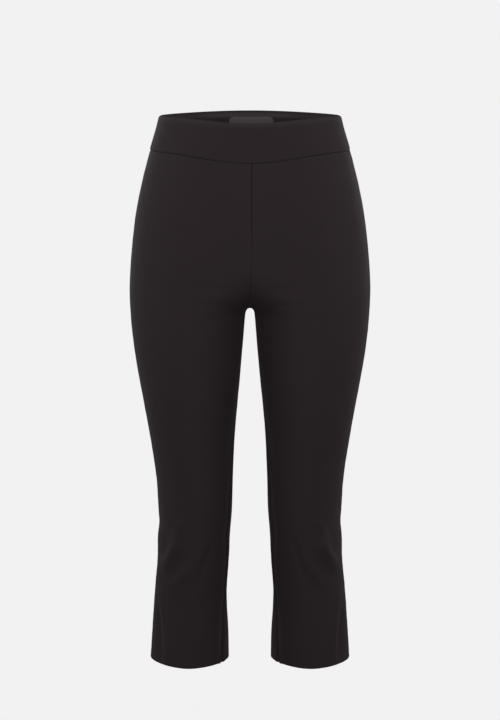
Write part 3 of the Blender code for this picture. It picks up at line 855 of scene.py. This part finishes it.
def twill_material(cloth):
    """Dark matte stretch twill with a fine diagonal weave and a soft nap."""
    made, tree, shader = new_material("stretch_twill", {
        "Metallic": 0.0, "Specular IOR Level": 0.03, "Sheen Weight": 0.02,
        "Sheen Roughness": 0.45, "Sheen Tint": (1.0, 0.90, 0.93, 1.0),
    })
    uv = add_node(tree, "ShaderNodeUVMap", uv_map="cloth").outputs["UV"]
    place = add_node(tree, "ShaderNodeTexCoord").outputs["Object"]
    turn = (0.0, 0.0, TWILL_ANGLE)
    turned = add_node(tree, "ShaderNodeMapping", {"Vector": uv, "Rotation": turn})
    lines = waves(tree, turned.outputs["Vector"], cloth.weave, "X", {
        "Distortion": 0.6, "Detail": 2.0, "Detail Scale": 2.0,
    })
    yarns = waves(tree, uv, cloth.weave * YARN_SHARE, "Y", {"Distortion": 0.4})
    weave = value_mix(tree, YARN_WEIGHT, lines, yarns)
    tone = blotches(tree, place, TONE_SIZE, {"Detail": 4.0, "Roughness": 0.55})
    shaped = add_node(tree, "ShaderNodeMapping", {"Vector": uv, "Scale": FLECK_SHAPE})
    flecks = blotches(tree, shaped.outputs["Vector"], FLECK_WIDTH, {"Detail": 2.0})
    mottle = value_mix(tree, FLECK_WEIGHT, tone, flecks)
    share = value_mix(tree, WEAVE_WEIGHT, mottle, weave)
    # Painted highlights beside the seams, on the welts, at the hem and on the fold crests lift the
    # colour towards the light yarn.
    share = calculate(tree, "MULTIPLY_ADD", cloth_mark(tree, "worn"), HIGHLIGHT_TONE, share)
    yarn = rgb_mix(tree, share, (*cloth.dark, 1.0), (*cloth.light, 1.0))
    # Painted highlight along the waist's folded edge.
    paler = rgb_mix(tree, share, *two_tones(cloth.painted_edge_highlight, EDGE_HIGHLIGHT_SPREAD))
    yarn = rgb_mix(tree, cloth_mark(tree, "painted_edge_highlight"), yarn, paler)
    # Painted shade: the colour is painted darker in the seams and between the welts.
    shade = calculate(tree, "MULTIPLY", cloth_mark(tree, "painted_seam_shade"), SEAM_SHADE_STRENGTH)
    tree.links.new(rgb_mix(tree, shade, yarn, BLACK), shader.inputs["Base Color"])
    rough = add_node(tree, "ShaderNodeMapRange", {
        "Value": mottle, "From Min": 0.3, "From Max": 0.7, "To Min": 0.78, "To Max": 0.90,
    })
    tree.links.new(rough.outputs["Result"], shader.inputs["Roughness"])
    relief = bump(tree, 0.35, WEAVE_DEPTH, weave)
    tree.links.new(bump(tree, 0.25, NAP_DEPTH, flecks, Normal=relief), shader.inputs["Normal"])
    return made


def thread_material(cloth):
    """Polyester thread in the colour of the cloth, a little shinier."""
    made, tree, shader = new_material("overlock_thread", {
        "Metallic": 0.0, "Specular IOR Level": 0.30, "Roughness": 0.50,
    })
    place = add_node(tree, "ShaderNodeTexCoord").outputs["Object"]
    plies = waves(tree, place, PLY, "DIAGONAL", {"Distortion": 1.0, "Detail": 2.0})
    colour = rgb_mix(tree, plies, (*cloth.dark, 1.0), (*cloth.light, 1.0))
    tree.links.new(colour, shader.inputs["Base Color"])
    tree.links.new(bump(tree, 0.5, PLY_DEPTH, plies), shader.inputs["Normal"])
    return made


def ribbon_material(label):
    """The label's tightly woven ribbon, plain from edge to edge."""
    made, tree, shader = new_material("label_ribbon", {
        "Metallic": 0.0, "Specular IOR Level": 0.25, "Roughness": 0.55,
        "Sheen Weight": 0.05, "Sheen Roughness": 0.4,
    })
    uv = add_node(tree, "ShaderNodeUVMap", uv_map="cloth").outputs["UV"]
    ribs = waves(tree, uv, RIB, "Y", {"Distortion": 0.3})
    warp = waves(tree, uv, WARP, "X", {"Distortion": 0.3})
    weave = value_mix(tree, WARP_WEIGHT, ribs, warp)
    tone = blotches(tree, uv, RIBBON_TONE_SIZE, {"Detail": 3.0})
    share = value_mix(tree, 0.5, tone, weave)
    colour = rgb_mix(tree, share, *two_tones(label.colour, RIBBON_SPREAD))
    tree.links.new(colour, shader.inputs["Base Color"])
    tree.links.new(bump(tree, 0.4, RIBBON_DEPTH, weave), shader.inputs["Normal"])
    return made


def shared_material(name, maker, settings):
    """A material by name, made the first time that it is asked for."""
    return bpy.data.materials.get(name) or maker(settings)


# --------------------------------------------------------------------- legs
def panel_relief(panel, face, side):
    """Height and marks of the seams of one leg piece, before it is mirrored.

    panel runs from its inner edge to the side seam.
    """
    across = arc_from(panel, 1)
    run = arc_from(panel, 0)
    side_apart = across[:, -1:] - across
    phase = PHASE[face] + PHASE["each_side"] * side
    seen = SEAM_FADE["least"] + (1.0 - SEAM_FADE["least"]) * ease(
        (np.abs(panel[..., 2] - SEAM_FADE["middle"]) - SEAM_FADE["from"]) / SEAM_FADE["reach"]
    )
    height = seam_height(across, run, phase) * seen
    rolled = ease((WELT["from_z"] - panel[..., 2]) / (WELT["from_z"] - WELT["full_z"]))
    rolled *= 1.0 - WELT["pressed"] * ease(1.0 - (panel[..., 2] - HEM_Z) / WELT["hem_reach"])
    height += rolled * WELT["height"] * np.exp(-(((across - WELT["apart"]) / WELT["width"]) ** 2))
    height -= rolled * WELT["deeper"] * np.exp(-((across / WELT["shade_reach"]) ** 2))
    height += seam_height(side_apart, run, phase + PHASE["side_seam"])
    height += edge_height(run)
    marks = np.maximum(seam_marks(across) * seen, seam_marks(side_apart))
    marks = np.maximum(marks, seam_marks(run))
    # Painted shade in the inseam between the welts.
    marks[0] += rolled * WELT["shade"] * np.exp(-((across / WELT["shade_reach"]) ** 2))
    # Painted highlight on the welts and along the hem.
    marks[1] += rolled * WELT["worn"] * np.exp(-(((across - WELT["apart"]) / WELT["width"]) ** 2))
    marks[1] = np.maximum(marks[1], np.exp(-(((run[-1:] - run) / SEAM_AND_HEM_HIGHLIGHT["hem"]) ** 2)))
    return height, marks


def lean(points):
    """Lean the front seam to the wearer's left, from the crotch up."""
    share = ease((points[..., 2] - CROTCH_Z) / (LEAN_FULL_Z - CROTCH_Z))
    points[..., 0] += FRONT_SEAM_LEAN * share * np.exp(-((points[..., 0] / LEAN_REACH) ** 2))


def turned_up(points, normals, radius, depth):
    """Rows that carry a sheet round its lower edge and up inside it."""
    last, out = points[-1], normals[-1]
    rows = []
    for angle in np.linspace(0.0, np.pi, TURN_STEPS + 1)[1:]:
        rows.append(last + radius * (np.cos(angle) - 1.0) * out - radius * np.sin(angle) * UP)
    lowest = last[:, 2].mean()
    for point_row, normal_row in zip(points[-2::-1], normals[-2::-1]):
        if point_row[:, 2].mean() > lowest + depth:
            break
        rows.append(point_row - 2.0 * radius * normal_row)
    return np.array(rows)


# A finished leg piece: its object, its outer face and normals as a grid from
# the inner edge to the side seam, and the upper edge of its turned-up hem.
Panel = namedtuple("Panel", "piece points normals hem_edge")


def make_leg(side, side_name, surface, cloth, finish):
    """The front and the back of one leg; side is 1 at +X and -1 at -X."""
    grid, normals, crotch_row, side_column = surface
    side_y = grid[:, side_column, 1][:, None]
    height = fold_height(FOLDS, grid, side_y, side) + slack_height(grid, side)
    # Painted highlights along the crests of the folds.
    crest_highlight = fold_height(CREST_HIGHLIGHTS, grid, side_y, side) / MM
    side_run = unit(grid[:, side_column + 1] - grid[:, side_column - 1])
    inseam_run = unit(grid[:, 1] - grid[:, -2])
    made = {}
    for face in ("front", "back"):
        if face == "front":
            columns, away = slice(0, side_column + 1), 1.0
        else:
            columns, away = slice(None, side_column - 1, -1), -1.0
        out = normals[:, columns]
        panel = grid[:, columns]
        relief, (painted_seam_shade, worn) = panel_relief(panel, face, side)
        panel = panel + (height[:, columns] + relief)[..., None] * out
        panel[:, -1] -= away * HALF_GAP * side_run
        panel[crotch_row:, 0] += away * HALF_GAP * inseam_run[crotch_row:]
        panel[: crotch_row + 1, 0, 0] = HALF_GAP
        if side < 0:
            panel, out = panel * MIRROR, out * MIRROR
        if face == "front":
            lean(panel)
        inside = turned_up(panel, out, 0.5 * LEG_IN, cloth.hem_depth)
        points = np.concatenate((panel, inside))
        outside = np.concatenate((out, np.zeros_like(inside)))
        clean = np.zeros(inside.shape[:2])
        # Painted shade in the seams, and painted highlights beside them, on the welts, at the hem
        # and on the fold crests.
        marks = {
            "painted_seam_shade": np.concatenate((painted_seam_shade, clean)),
            "worn": np.concatenate((worn + crest_highlight[:, columns], clean)),
        }
        name = face + "_" + side_name
        piece = sheet_object(name + "_cloth", points, outside, cloth.thickness, finish, marks)
        settle(piece, name)
        made[name] = Panel(piece, panel, out, inside[-1])
    return made


# ------------------------------------------------------------ inside seams
# Two edges sewn together and pressed to one side: the strip runs from just
# past the seam to its overlocked edge.
STRIP_REACHES = np.array((-1.4, -0.5, 0.5, 1.8, 3.6, 5.6, 7.2, 8.0)) * MM
WAIST_REACHES = np.array((0.1, 0.9, 2.2, 4.2, 6.2, 8.0)) * MM
STRIP_DEPTH = 0.85 * MM     # from the cloth's outer face to the strip
STRIP_THICKNESS = 0.65 * MM
STITCH_PITCH = 2.9 * MM     # along the overlocked edge
# One overlock loop: half its width and height, its thread, its lean along the
# edge, and how far it stands past the edge.
STITCH = {
    "reach": 1.35 * MM, "height": 0.50 * MM, "thread": 0.13 * MM, "slant": 0.35,
    "past_edge": 0.2 * MM,
}


def inward_line(points, normals, reach, depth):
    """A line at a distance from a panel's first column and below its face."""
    line = []
    for row, out, apart in zip(points, normals, arc_from(points, 1)):
        place = [np.interp(reach, apart, row[:, axis]) for axis in range(3)]
        facing = [np.interp(reach, apart, out[:, axis]) for axis in range(3)]
        line.append(np.array(place) - depth * unit(np.array(facing)))
    return line


def strip_grid(near, far, reaches):
    """Grid of a strip over the seam where the first columns of two panels
    meet. near and far are the panels' points and normals."""
    lines = []
    for reach in reaches:
        points, normals = near if reach < 0.0 else far
        lines.append(inward_line(points, normals, abs(reach), STRIP_DEPTH))
    return np.stack(lines, axis=1)


def seam_strip(name, near, far, reaches, cloth, finish):
    """One pressed seam allowance, and the run of its free edge."""
    grid = strip_grid(near, far, reaches)
    normals = np.repeat(far[1][:, :1], len(reaches), axis=1)
    piece = sheet_object(name, grid, normals, min(STRIP_THICKNESS, cloth.thickness), finish)
    settle(piece, None)
    edge = grid[:, -1] - 0.5 * STRIP_THICKNESS * normals[:, -1]
    return piece, (edge, unit(grid[:, -1] - grid[:, -2]))


def stitch_places(line, pitch):
    """Centre and axes of each stitch along an edge: its run, the way out of
    the cloth's edge and the way through the cloth."""
    points, outer = line
    reached = distances(points)
    places = []
    for at in np.arange(0.5 * pitch, reached[-1], pitch):
        centre, side = [
            np.array([np.interp(at, reached, values[:, axis]) for axis in range(3)])
            for values in (points, outer)
        ]
        low = np.searchsorted(reached, at) - 1
        run = unit(points[low + 1] - points[low])
        side = unit(side - (side @ run) * run)
        places.append((centre, np.stack((run, side, np.cross(run, side)))))
    return places


def overlock_stitch():
    """One loop of thread round a cloth edge, modelled at the origin: the edge
    runs along X and the cloth lies on the -Y side."""
    bpy.ops.object.select_all(action="DESELECT")
    bpy.ops.mesh.primitive_torus_add(
        major_radius=STITCH["reach"], minor_radius=STITCH["thread"],
        major_segments=8, minor_segments=4, rotation=(0.0, 0.5 * np.pi, 0.0),
    )
    stitch = bpy.context.active_object
    bpy.ops.object.transform_apply(location=False, rotation=True, scale=False)
    bpy.ops.object.mode_set(mode="EDIT")
    bpy.ops.mesh.select_all(action="SELECT")
    bpy.ops.transform.resize(value=(1.0, 1.0, STITCH["height"] / STITCH["reach"]))
    bpy.ops.transform.translate(value=(0.0, STITCH["past_edge"] - STITCH["reach"], 0.0))
    bpy.ops.object.mode_set(mode="OBJECT")
    for vertex in stitch.data.vertices:
        vertex.co.x += STITCH["slant"] * vertex.co.y
    return stitch


def running_stitch(length, thread):
    """One flat stitch, modelled at the origin along X, on cloth that faces Z."""
    bpy.ops.object.select_all(action="DESELECT")
    bpy.ops.mesh.primitive_uv_sphere_add(
        segments=6, ring_count=5, radius=1.0, rotation=(0.0, 0.5 * np.pi, 0.0),
    )
    stitch = bpy.context.active_object
    bpy.ops.object.transform_apply(location=False, rotation=True, scale=False)
    bpy.ops.object.mode_set(mode="EDIT")
    bpy.ops.mesh.select_all(action="SELECT")
    bpy.ops.transform.resize(value=(0.5 * length, thread, thread))
    bpy.ops.object.mode_set(mode="OBJECT")
    return stitch


def stitch_rows(name, stitch, places, finish):
    """A copy of one stitch at each place, as one piece; the stitch is used up."""
    shape = np.array([vertex.co for vertex in stitch.data.vertices])
    faces = [face.vertices[:] for face in stitch.data.polygons]
    points = np.concatenate([centre + shape @ axes for centre, axes in places])
    starts = range(0, len(points), len(shape))
    all_faces = [[start + corner for corner in face] for start in starts for face in faces]
    mesh = bpy.data.meshes.new(name)
    mesh.from_pydata(points.tolist(), [], all_faces)
    bpy.data.objects.remove(stitch)
    piece = bpy.data.objects.new(name, mesh)
    piece.data.materials.append(finish)
    bpy.context.scene.collection.objects.link(piece)
    select_only(piece)
    bpy.ops.object.mode_set(mode="EDIT")
    bpy.ops.mesh.select_all(action="SELECT")
    bpy.ops.mesh.normals_make_consistent(inside=False)
    bpy.ops.object.mode_set(mode="OBJECT")
    piece.data.shade_smooth()
    settle(piece, None)
    return piece


def inside_seams(panels, crotch_row, hem_row, cloth, finish):
    """The seam allowances inside, by the panel that each is pressed on to,
    and their free edges."""
    def grids(name, rows, flip=False, turn=False):
        """A panel's points and normals; their first columns are at the seam."""
        points, normals = panels[name].points[rows], panels[name].normals[rows]
        if flip:
            points, normals = points[:, ::-1], normals[:, ::-1]
        if turn:
            points, normals = points.swapaxes(0, 1), normals.swapaxes(0, 1)
        return points, normals

    upper, lower, whole = slice(0, crotch_row + 1), slice(crotch_row, hem_row), slice(0, hem_row)
    jobs = [
        (face + "_centre_allowance", face + "_left",
         grids(face + "_right", upper), grids(face + "_left", upper), STRIP_REACHES)
        for face in ("front", "back")
    ]
    for side in ("left", "right"):
        front, back = "front_" + side, "back_" + side
        jobs.append((
            "inseam_allowance_" + side, back,
            grids(front, lower), grids(back, lower), STRIP_REACHES,
        ))
        jobs.append((
            "side_allowance_" + side, back,
            grids(front, whole, flip=True), grids(back, whole, flip=True), STRIP_REACHES,
        ))
        for name in (front, back):
            grid = grids(name, whole, turn=True)
            jobs.append(("waist_allowance_" + name, name, grid, grid, WAIST_REACHES))
    owned = {name: [] for name in panels}
    edges = []
    for name, owner, near, far, reaches in jobs:
        piece, edge = seam_strip(name, near, far, reaches, cloth, finish)
        owned[owner].append(piece)
        edges.append(edge)
    return owned, edges


class CAPRI_OT_legs(bpy.types.Operator):
    """Sew the four leg pieces, their seams and their hems"""

    bl_idname = "capri.legs"
    bl_label = "Legs"

    def execute(self, context):
        cloth = context.scene.capri_cloth
        finish = shared_material("stretch_twill", twill_material, cloth)
        grid, crotch_row, side_column = leg_surface()
        surface = grid, leg_normals(grid, crotch_row), crotch_row, side_column
        panels = {}
        for side, side_name in ((1, "left"), (-1, "right")):
            panels.update(make_leg(side, side_name, surface, cloth, finish))
        hem_row = int(np.sum(grid[:, 0, 2] > HEM_Z + cloth.hem_depth))
        owned, edges = inside_seams(panels, crotch_row, hem_row, cloth, finish)
        for panel in panels.values():
            edges.append((panel.hem_edge, np.tile(UP, (len(panel.hem_edge), 1))))
        places = [place for edge in edges for place in stitch_places(edge, STITCH_PITCH)]
        thread = shared_material("overlock_thread", thread_material, cloth)
        stitch_rows("overlock_stitches", overlock_stitch(), places, thread)
        return {"FINISHED"}


# ---------------------------------------------------------------- waistband
def band_rows(face, z_shift, steps):
    """One half of a band, as rows from its top edge down, centre to side."""
    shares, offsets = column_places(BAND_COLUMNS)
    rows = []
    for step in steps:
        top = line_height(WAIST_LINE, face, shares) + z_shift
        bottom = line_height(BAND_SEAM, face, shares) + HALF_GAP
        rows.append(row_points(face, top + (bottom - top) * step, shares, offsets))
    return np.array(rows)


def both_sides(half, flip=MIRROR):
    """A grid mirrored over centre front or back; its first column is there."""
    return np.concatenate((half[:, :0:-1] * flip, half), axis=1)


def edge_highlight_shares(run, across, fold_rows):
    """How strongly the band's cloth is painted paler, a painted highlight: up its
    outer face, over the fold and down inside. run is the distance from the waist,
    across that from the centre."""
    outer = EDGE_HIGHLIGHT["outer"] * np.exp(-((run / EDGE_HIGHLIGHT["outer_reach"]) ** 2))
    inner = 1.0 - ease((run - EDGE_HIGHLIGHT["inner_from"]) / (EDGE_HIGHLIGHT["inner_to"] - EDGE_HIGHLIGHT["inner_from"]))
    inner *= ease(run / EDGE_HIGHLIGHT["inner_rise"])
    side_width = EDGE_HIGHLIGHT["side_to"] - EDGE_HIGHLIGHT["side_from"]
    inner *= 1.0 - EDGE_HIGHLIGHT["side_less"] * ease((across[0] - EDGE_HIGHLIGHT["side_from"]) / side_width)
    fold = np.full((fold_rows, run.shape[1]), EDGE_HIGHLIGHT["fold"])
    return np.concatenate((outer[::-1], fold, inner))


def make_band(face, cloth, finish):
    """The outer face of the band, folded over at the waist and down inside."""
    radius = 0.5 * (BAND_OUT + BAND_IN)
    even = np.linspace(0.0, 1.0, BAND_ROWS + 1)
    by_seam = 1.0 + EDGE_STEPS[::-1] / BAND_SEAM["side"]
    steps = np.concatenate((even[:-1], by_seam, even[-1:]))
    grid = band_rows(face, -radius, steps)
    facing = 1.0 if face == "front" else -1.0
    normals = facing * outward(grid, grid[:, 1] * MIRROR, 2.0 * grid[:, -1] - grid[:, -2])
    run = arc_from(grid, 0)
    across = arc_from(grid, 1)
    side_apart = across[:, -1:] - across
    slack = slack_height(grid, 1)
    relief = edge_height(run[-1:] - run) + seam_height(side_apart, run, PHASE["band"]) + slack
    relief -= BAND_FLATTER * SEAM_PLATEAU["height"] * (1.0 - ease(side_apart / SEAM_PLATEAU["to"]))
    outer = grid + (BAND_OUT + relief)[..., None] * normals
    inner = grid - (BAND_IN - 0.5 * slack)[..., None] * normals
    middle = 0.5 * (outer[0] + inner[0])
    half_width = 0.5 * (outer[0] - inner[0])
    fold = [
        middle + np.cos(angle) * half_width + radius * np.sin(angle) * UP
        for angle in np.linspace(0.0, np.pi, BAND_TURN_STEPS + 1)[1:-1]
    ]
    half = np.concatenate((outer[::-1], np.array(fold), inner))
    outside = np.concatenate((normals[::-1], np.zeros((len(fold),) + normals[0].shape), -normals))
    half[:, -1] -= HALF_GAP * unit(half[:, -1] - half[:, -2])
    half[:, 0, 0] = 0.0
    # Painted highlight along the waist's folded edge, painted less pale inside towards the side
    # seams.
    marks = {"painted_edge_highlight": both_sides(edge_highlight_shares(run, across, len(fold)), 1.0)}
    name = "waistband_" + face
    piece = sheet_object(
        name + "_cloth", both_sides(half), both_sides(outside), cloth.thickness, finish, marks,
    )
    settle(piece, name)


class CAPRI_OT_waistband(bpy.types.Operator):
    """Fold and sew the front and back of the waistband"""

    bl_idname = "capri.waistband"
    bl_label = "Waistband"

    def execute(self, context):
        cloth = context.scene.capri_cloth
        finish = shared_material("stretch_twill", twill_material, cloth)
        for face in ("front", "back"):
            make_band(face, cloth, finish)
        return {"FINISHED"}


# -------------------------------------------------------------------- label
LABEL_COLUMNS = 40
LABEL_ROWS = 26
LABEL_CORNER = 7.0 * MM     # radius of its corners
LABEL_ASIDE = 2.0 * MM      # how far it lies to the wearer's left
LABEL_LIFT = {"edge": 2.50 * MM, "middle": 2.70 * MM, "soft": 5.0 * MM}   # off the band's line
LABEL_THICKNESS = 0.35 * MM
LABEL_STITCH = {"length": 1.9 * MM, "thread": 0.14 * MM, "pitch": 2.8 * MM}


def border_places(points, facing):
    """Stitch places just inside the left and right edges of the label."""
    places = []
    for column in (1, -2):
        line, out = points[:, column], facing[:, column]
        for centre, (run, across, up) in stitch_places((line, out), LABEL_STITCH["pitch"]):
            places.append((centre, np.stack((run, -up, across))))
    return places


def label_grid(label):
    """The label's rows, from its top edge down, on the line of the back's cloth."""
    rows = []
    for z in np.linspace(label.top, label.bottom, LABEL_ROWS + 1):
        from_corner = max(LABEL_CORNER - min(label.top - z, z - label.bottom), 0.0)
        half_width = label.half_width - LABEL_CORNER + np.sqrt(LABEL_CORNER ** 2 - from_corner ** 2)
        reach = LABEL_ASIDE + np.linspace(-half_width, half_width, LABEL_COLUMNS + 1)
        points = along(section(z)["back"][0], np.abs(reach))
        rows.append([(np.sign(at) * x, y, z) for at, (x, y) in zip(reach, points)])
    return np.array(rows)


def label_depth(grid):
    """How far inside the band's line each point of the label lies."""
    across, down = arc_from(grid, 1), arc_from(grid, 0)
    from_edge = np.minimum(
        np.minimum(across, across[:, -1:] - across), np.minimum(down, down[-1:] - down)
    )
    puff = ease(from_edge / LABEL_LIFT["soft"])
    return LABEL_LIFT["edge"] + (LABEL_LIFT["middle"] - LABEL_LIFT["edge"]) * puff


class CAPRI_OT_label(bpy.types.Operator):
    """Sew the blank label inside the back of the waistband"""

    bl_idname = "capri.label"
    bl_label = "Label"

    def execute(self, context):
        label = context.scene.capri_label
        finish = shared_material("label_ribbon", ribbon_material, label)
        grid = label_grid(label)
        ends = 2.0 * grid[:, (0, -1)] - grid[:, (1, -2)]
        inward = outward(grid, ends[:, 0], ends[:, 1])
        points = grid + label_depth(grid)[..., None] * inward
        piece = sheet_object("label_ribbon", points, inward, LABEL_THICKNESS, finish)
        settle(piece, "label")
        thread = shared_material("overlock_thread", thread_material, context.scene.capri_cloth)
        stitch = running_stitch(LABEL_STITCH["length"], LABEL_STITCH["thread"])
        places = border_places(points, inward)
        stitches = stitch_rows("label_stitches", stitch, places, thread)
        return {"FINISHED"}


# -------------------------------------------------------------------- stage
CAMERA_PLACE = Vector((0.0, -2.8, 0.120))
CAMERA_AIM = Vector((0.0, 0.0, -0.353))
CAMERA_LENS = 97.685        # millimetres, as the sensor is
SENSOR_HEIGHT = 36.0
FLOOR_WIDTH = 60.0
FLOOR_COLOUR = (0.86, 0.86, 0.86, 1.0)
WHITE = (1.0, 1.0, 1.0, 1.0)
KEY_PLACE = Vector((0.0, -1.8, 0.40))
KEY_SIZE = 1.2
SIDE_PLACE = Vector((1.7, 0.35, 0.75))
SIDE_SIZE = 1.0
BACK_PLACE = Vector((1.2, 1.6, 0.0))
BACK_SIZE = 0.8
FLOOR_LIGHT_PLACE = Vector((0.0, 0.0, 3.0))
FLOOR_LIGHT_ANGLE = 1.0     # radians; a wide lamp throws a soft shadow


def aim(piece, target):
    """Turn a camera or a light to face a point."""
    piece.rotation_euler = (target - piece.location).to_track_quat("-Z", "Y").to_euler()


def room(stage):
    """Even light from all sides, seen as a pale backdrop."""
    world = bpy.data.worlds.new("room")
    bpy.context.scene.world = world
    world.use_nodes = True
    tree = world.node_tree
    tree.nodes.clear()
    light, seen = [
        add_node(tree, "ShaderNodeBackground", {"Color": WHITE, "Strength": strength})
        for strength in (stage.room_light, stage.backdrop)
    ]
    path = add_node(tree, "ShaderNodeLightPath")
    mix = add_node(tree, "ShaderNodeMixShader", {"Fac": path.outputs["Is Camera Ray"]})
    tree.links.new(light.outputs["Background"], mix.inputs[1])
    tree.links.new(seen.outputs["Background"], mix.inputs[2])
    end = add_node(tree, "ShaderNodeOutputWorld")
    tree.links.new(mix.outputs["Shader"], end.inputs["Surface"])


def floor_group(name, floor, link_state):
    """A collection that keeps a lamp to the floor, or off it."""
    made = bpy.data.collections.new(name)
    made.objects.link(floor)
    made.collection_objects[0].light_linking.link_state = link_state
    return made


def lamp(name, place, size, power, receivers):
    """A large round lamp that faces the cloth."""
    bpy.ops.object.light_add(type="AREA", location=place)
    made = bpy.context.active_object
    made.name = name
    made.data.shape = "DISK"
    made.data.size = size
    made.data.energy = power
    made.light_linking.receiver_collection = receivers
    aim(made, CAMERA_AIM)


class CAPRI_OT_stage(bpy.types.Operator):
    """Lay a pale floor, light it softly and set the camera"""

    bl_idname = "capri.stage"
    bl_label = "Stage"

    def execute(self, context):
        stage = context.scene.capri_stage
        room(stage)
        bpy.ops.object.select_all(action="DESELECT")
        bpy.ops.mesh.primitive_plane_add(size=FLOOR_WIDTH, location=(0.0, 0.0, stage.floor_z))
        floor = context.active_object
        floor.name = "floor"
        finish = {"Base Color": FLOOR_COLOUR, "Roughness": 0.9, "Specular IOR Level": 0.0}
        floor.data.materials.append(new_material("pale_floor", finish)[0])
        # The floor throws no light back at the cloth.
        floor.visible_diffuse = False
        floor.visible_glossy = False
        cloth_only = floor_group("all_but_floor", floor, "EXCLUDE")
        lamp("key_light", KEY_PLACE, KEY_SIZE, stage.key_power, cloth_only)
        for name, across in (("left", Vector((1.0, 1.0, 1.0))), ("right", Vector(MIRROR))):
            lamp(name + "_light", SIDE_PLACE * across, SIDE_SIZE, stage.side_power, cloth_only)
            lamp(name + "_back_light", BACK_PLACE * across, BACK_SIZE, stage.back_power, cloth_only)
        bpy.ops.object.light_add(type="SUN", location=FLOOR_LIGHT_PLACE)
        sun = context.active_object
        sun.name = "floor_light"
        sun.data.angle = FLOOR_LIGHT_ANGLE
        sun.data.energy = stage.floor_light
        sun.light_linking.receiver_collection = floor_group("floor_only", floor, "INCLUDE")
        bpy.ops.object.camera_add(location=CAMERA_PLACE)
        camera = context.active_object
        camera.name = "camera"
        camera.data.sensor_fit = "VERTICAL"
        camera.data.sensor_height = SENSOR_HEIGHT
        camera.data.lens = CAMERA_LENS
        aim(camera, CAMERA_AIM)
        context.scene.camera = camera
        context.scene.view_settings.view_transform = "Standard"
        return {"FINISHED"}


# -------------------------------------------------------------------- panel
class CAPRI_PT_panel(bpy.types.Panel):
    """Buttons and sizes of the capri pants"""

    bl_label = "Capri Pants"
    bl_idname = "CAPRI_PT_panel"
    bl_space_type = "VIEW_3D"
    bl_region_type = "UI"
    bl_category = "Capri Pants"

    def draw(self, context):
        for operator in OPERATORS:
            self.layout.operator(operator.bl_idname)
        for group in SETTINGS:
            settings = getattr(context.scene, group)
            box = self.layout.box()
            for name in settings.bl_rna.properties.keys():
                if name not in ("rna_type", "name"):
                    box.prop(settings, name)


OPERATORS = (CAPRI_OT_legs, CAPRI_OT_waistband, CAPRI_OT_label, CAPRI_OT_stage)
SETTINGS = {
    "capri_cloth": CapriClothSettings,
    "capri_label": CapriLabelSettings,
    "capri_stage": CapriStageSettings,
}


def register():
    """Make the operators, the panel and the scene's settings known."""
    for kind in (*SETTINGS.values(), *OPERATORS, CAPRI_PT_panel):
        bpy.utils.register_class(kind)
    for name, kind in SETTINGS.items():
        setattr(bpy.types.Scene, name, bpy.props.PointerProperty(type=kind))


def unregister():
    """Take them away again."""
    for name in SETTINGS:
        delattr(bpy.types.Scene, name)
    for kind in (CAPRI_PT_panel, *reversed(OPERATORS), *SETTINGS.values()):
        bpy.utils.unregister_class(kind)


def main():
    """Make every piece and the stage."""
    register()
    bpy.ops.capri.stage()
    bpy.ops.capri.legs()
    bpy.ops.capri.waistband()
    bpy.ops.capri.label()


if __name__ == "__main__":
    main()
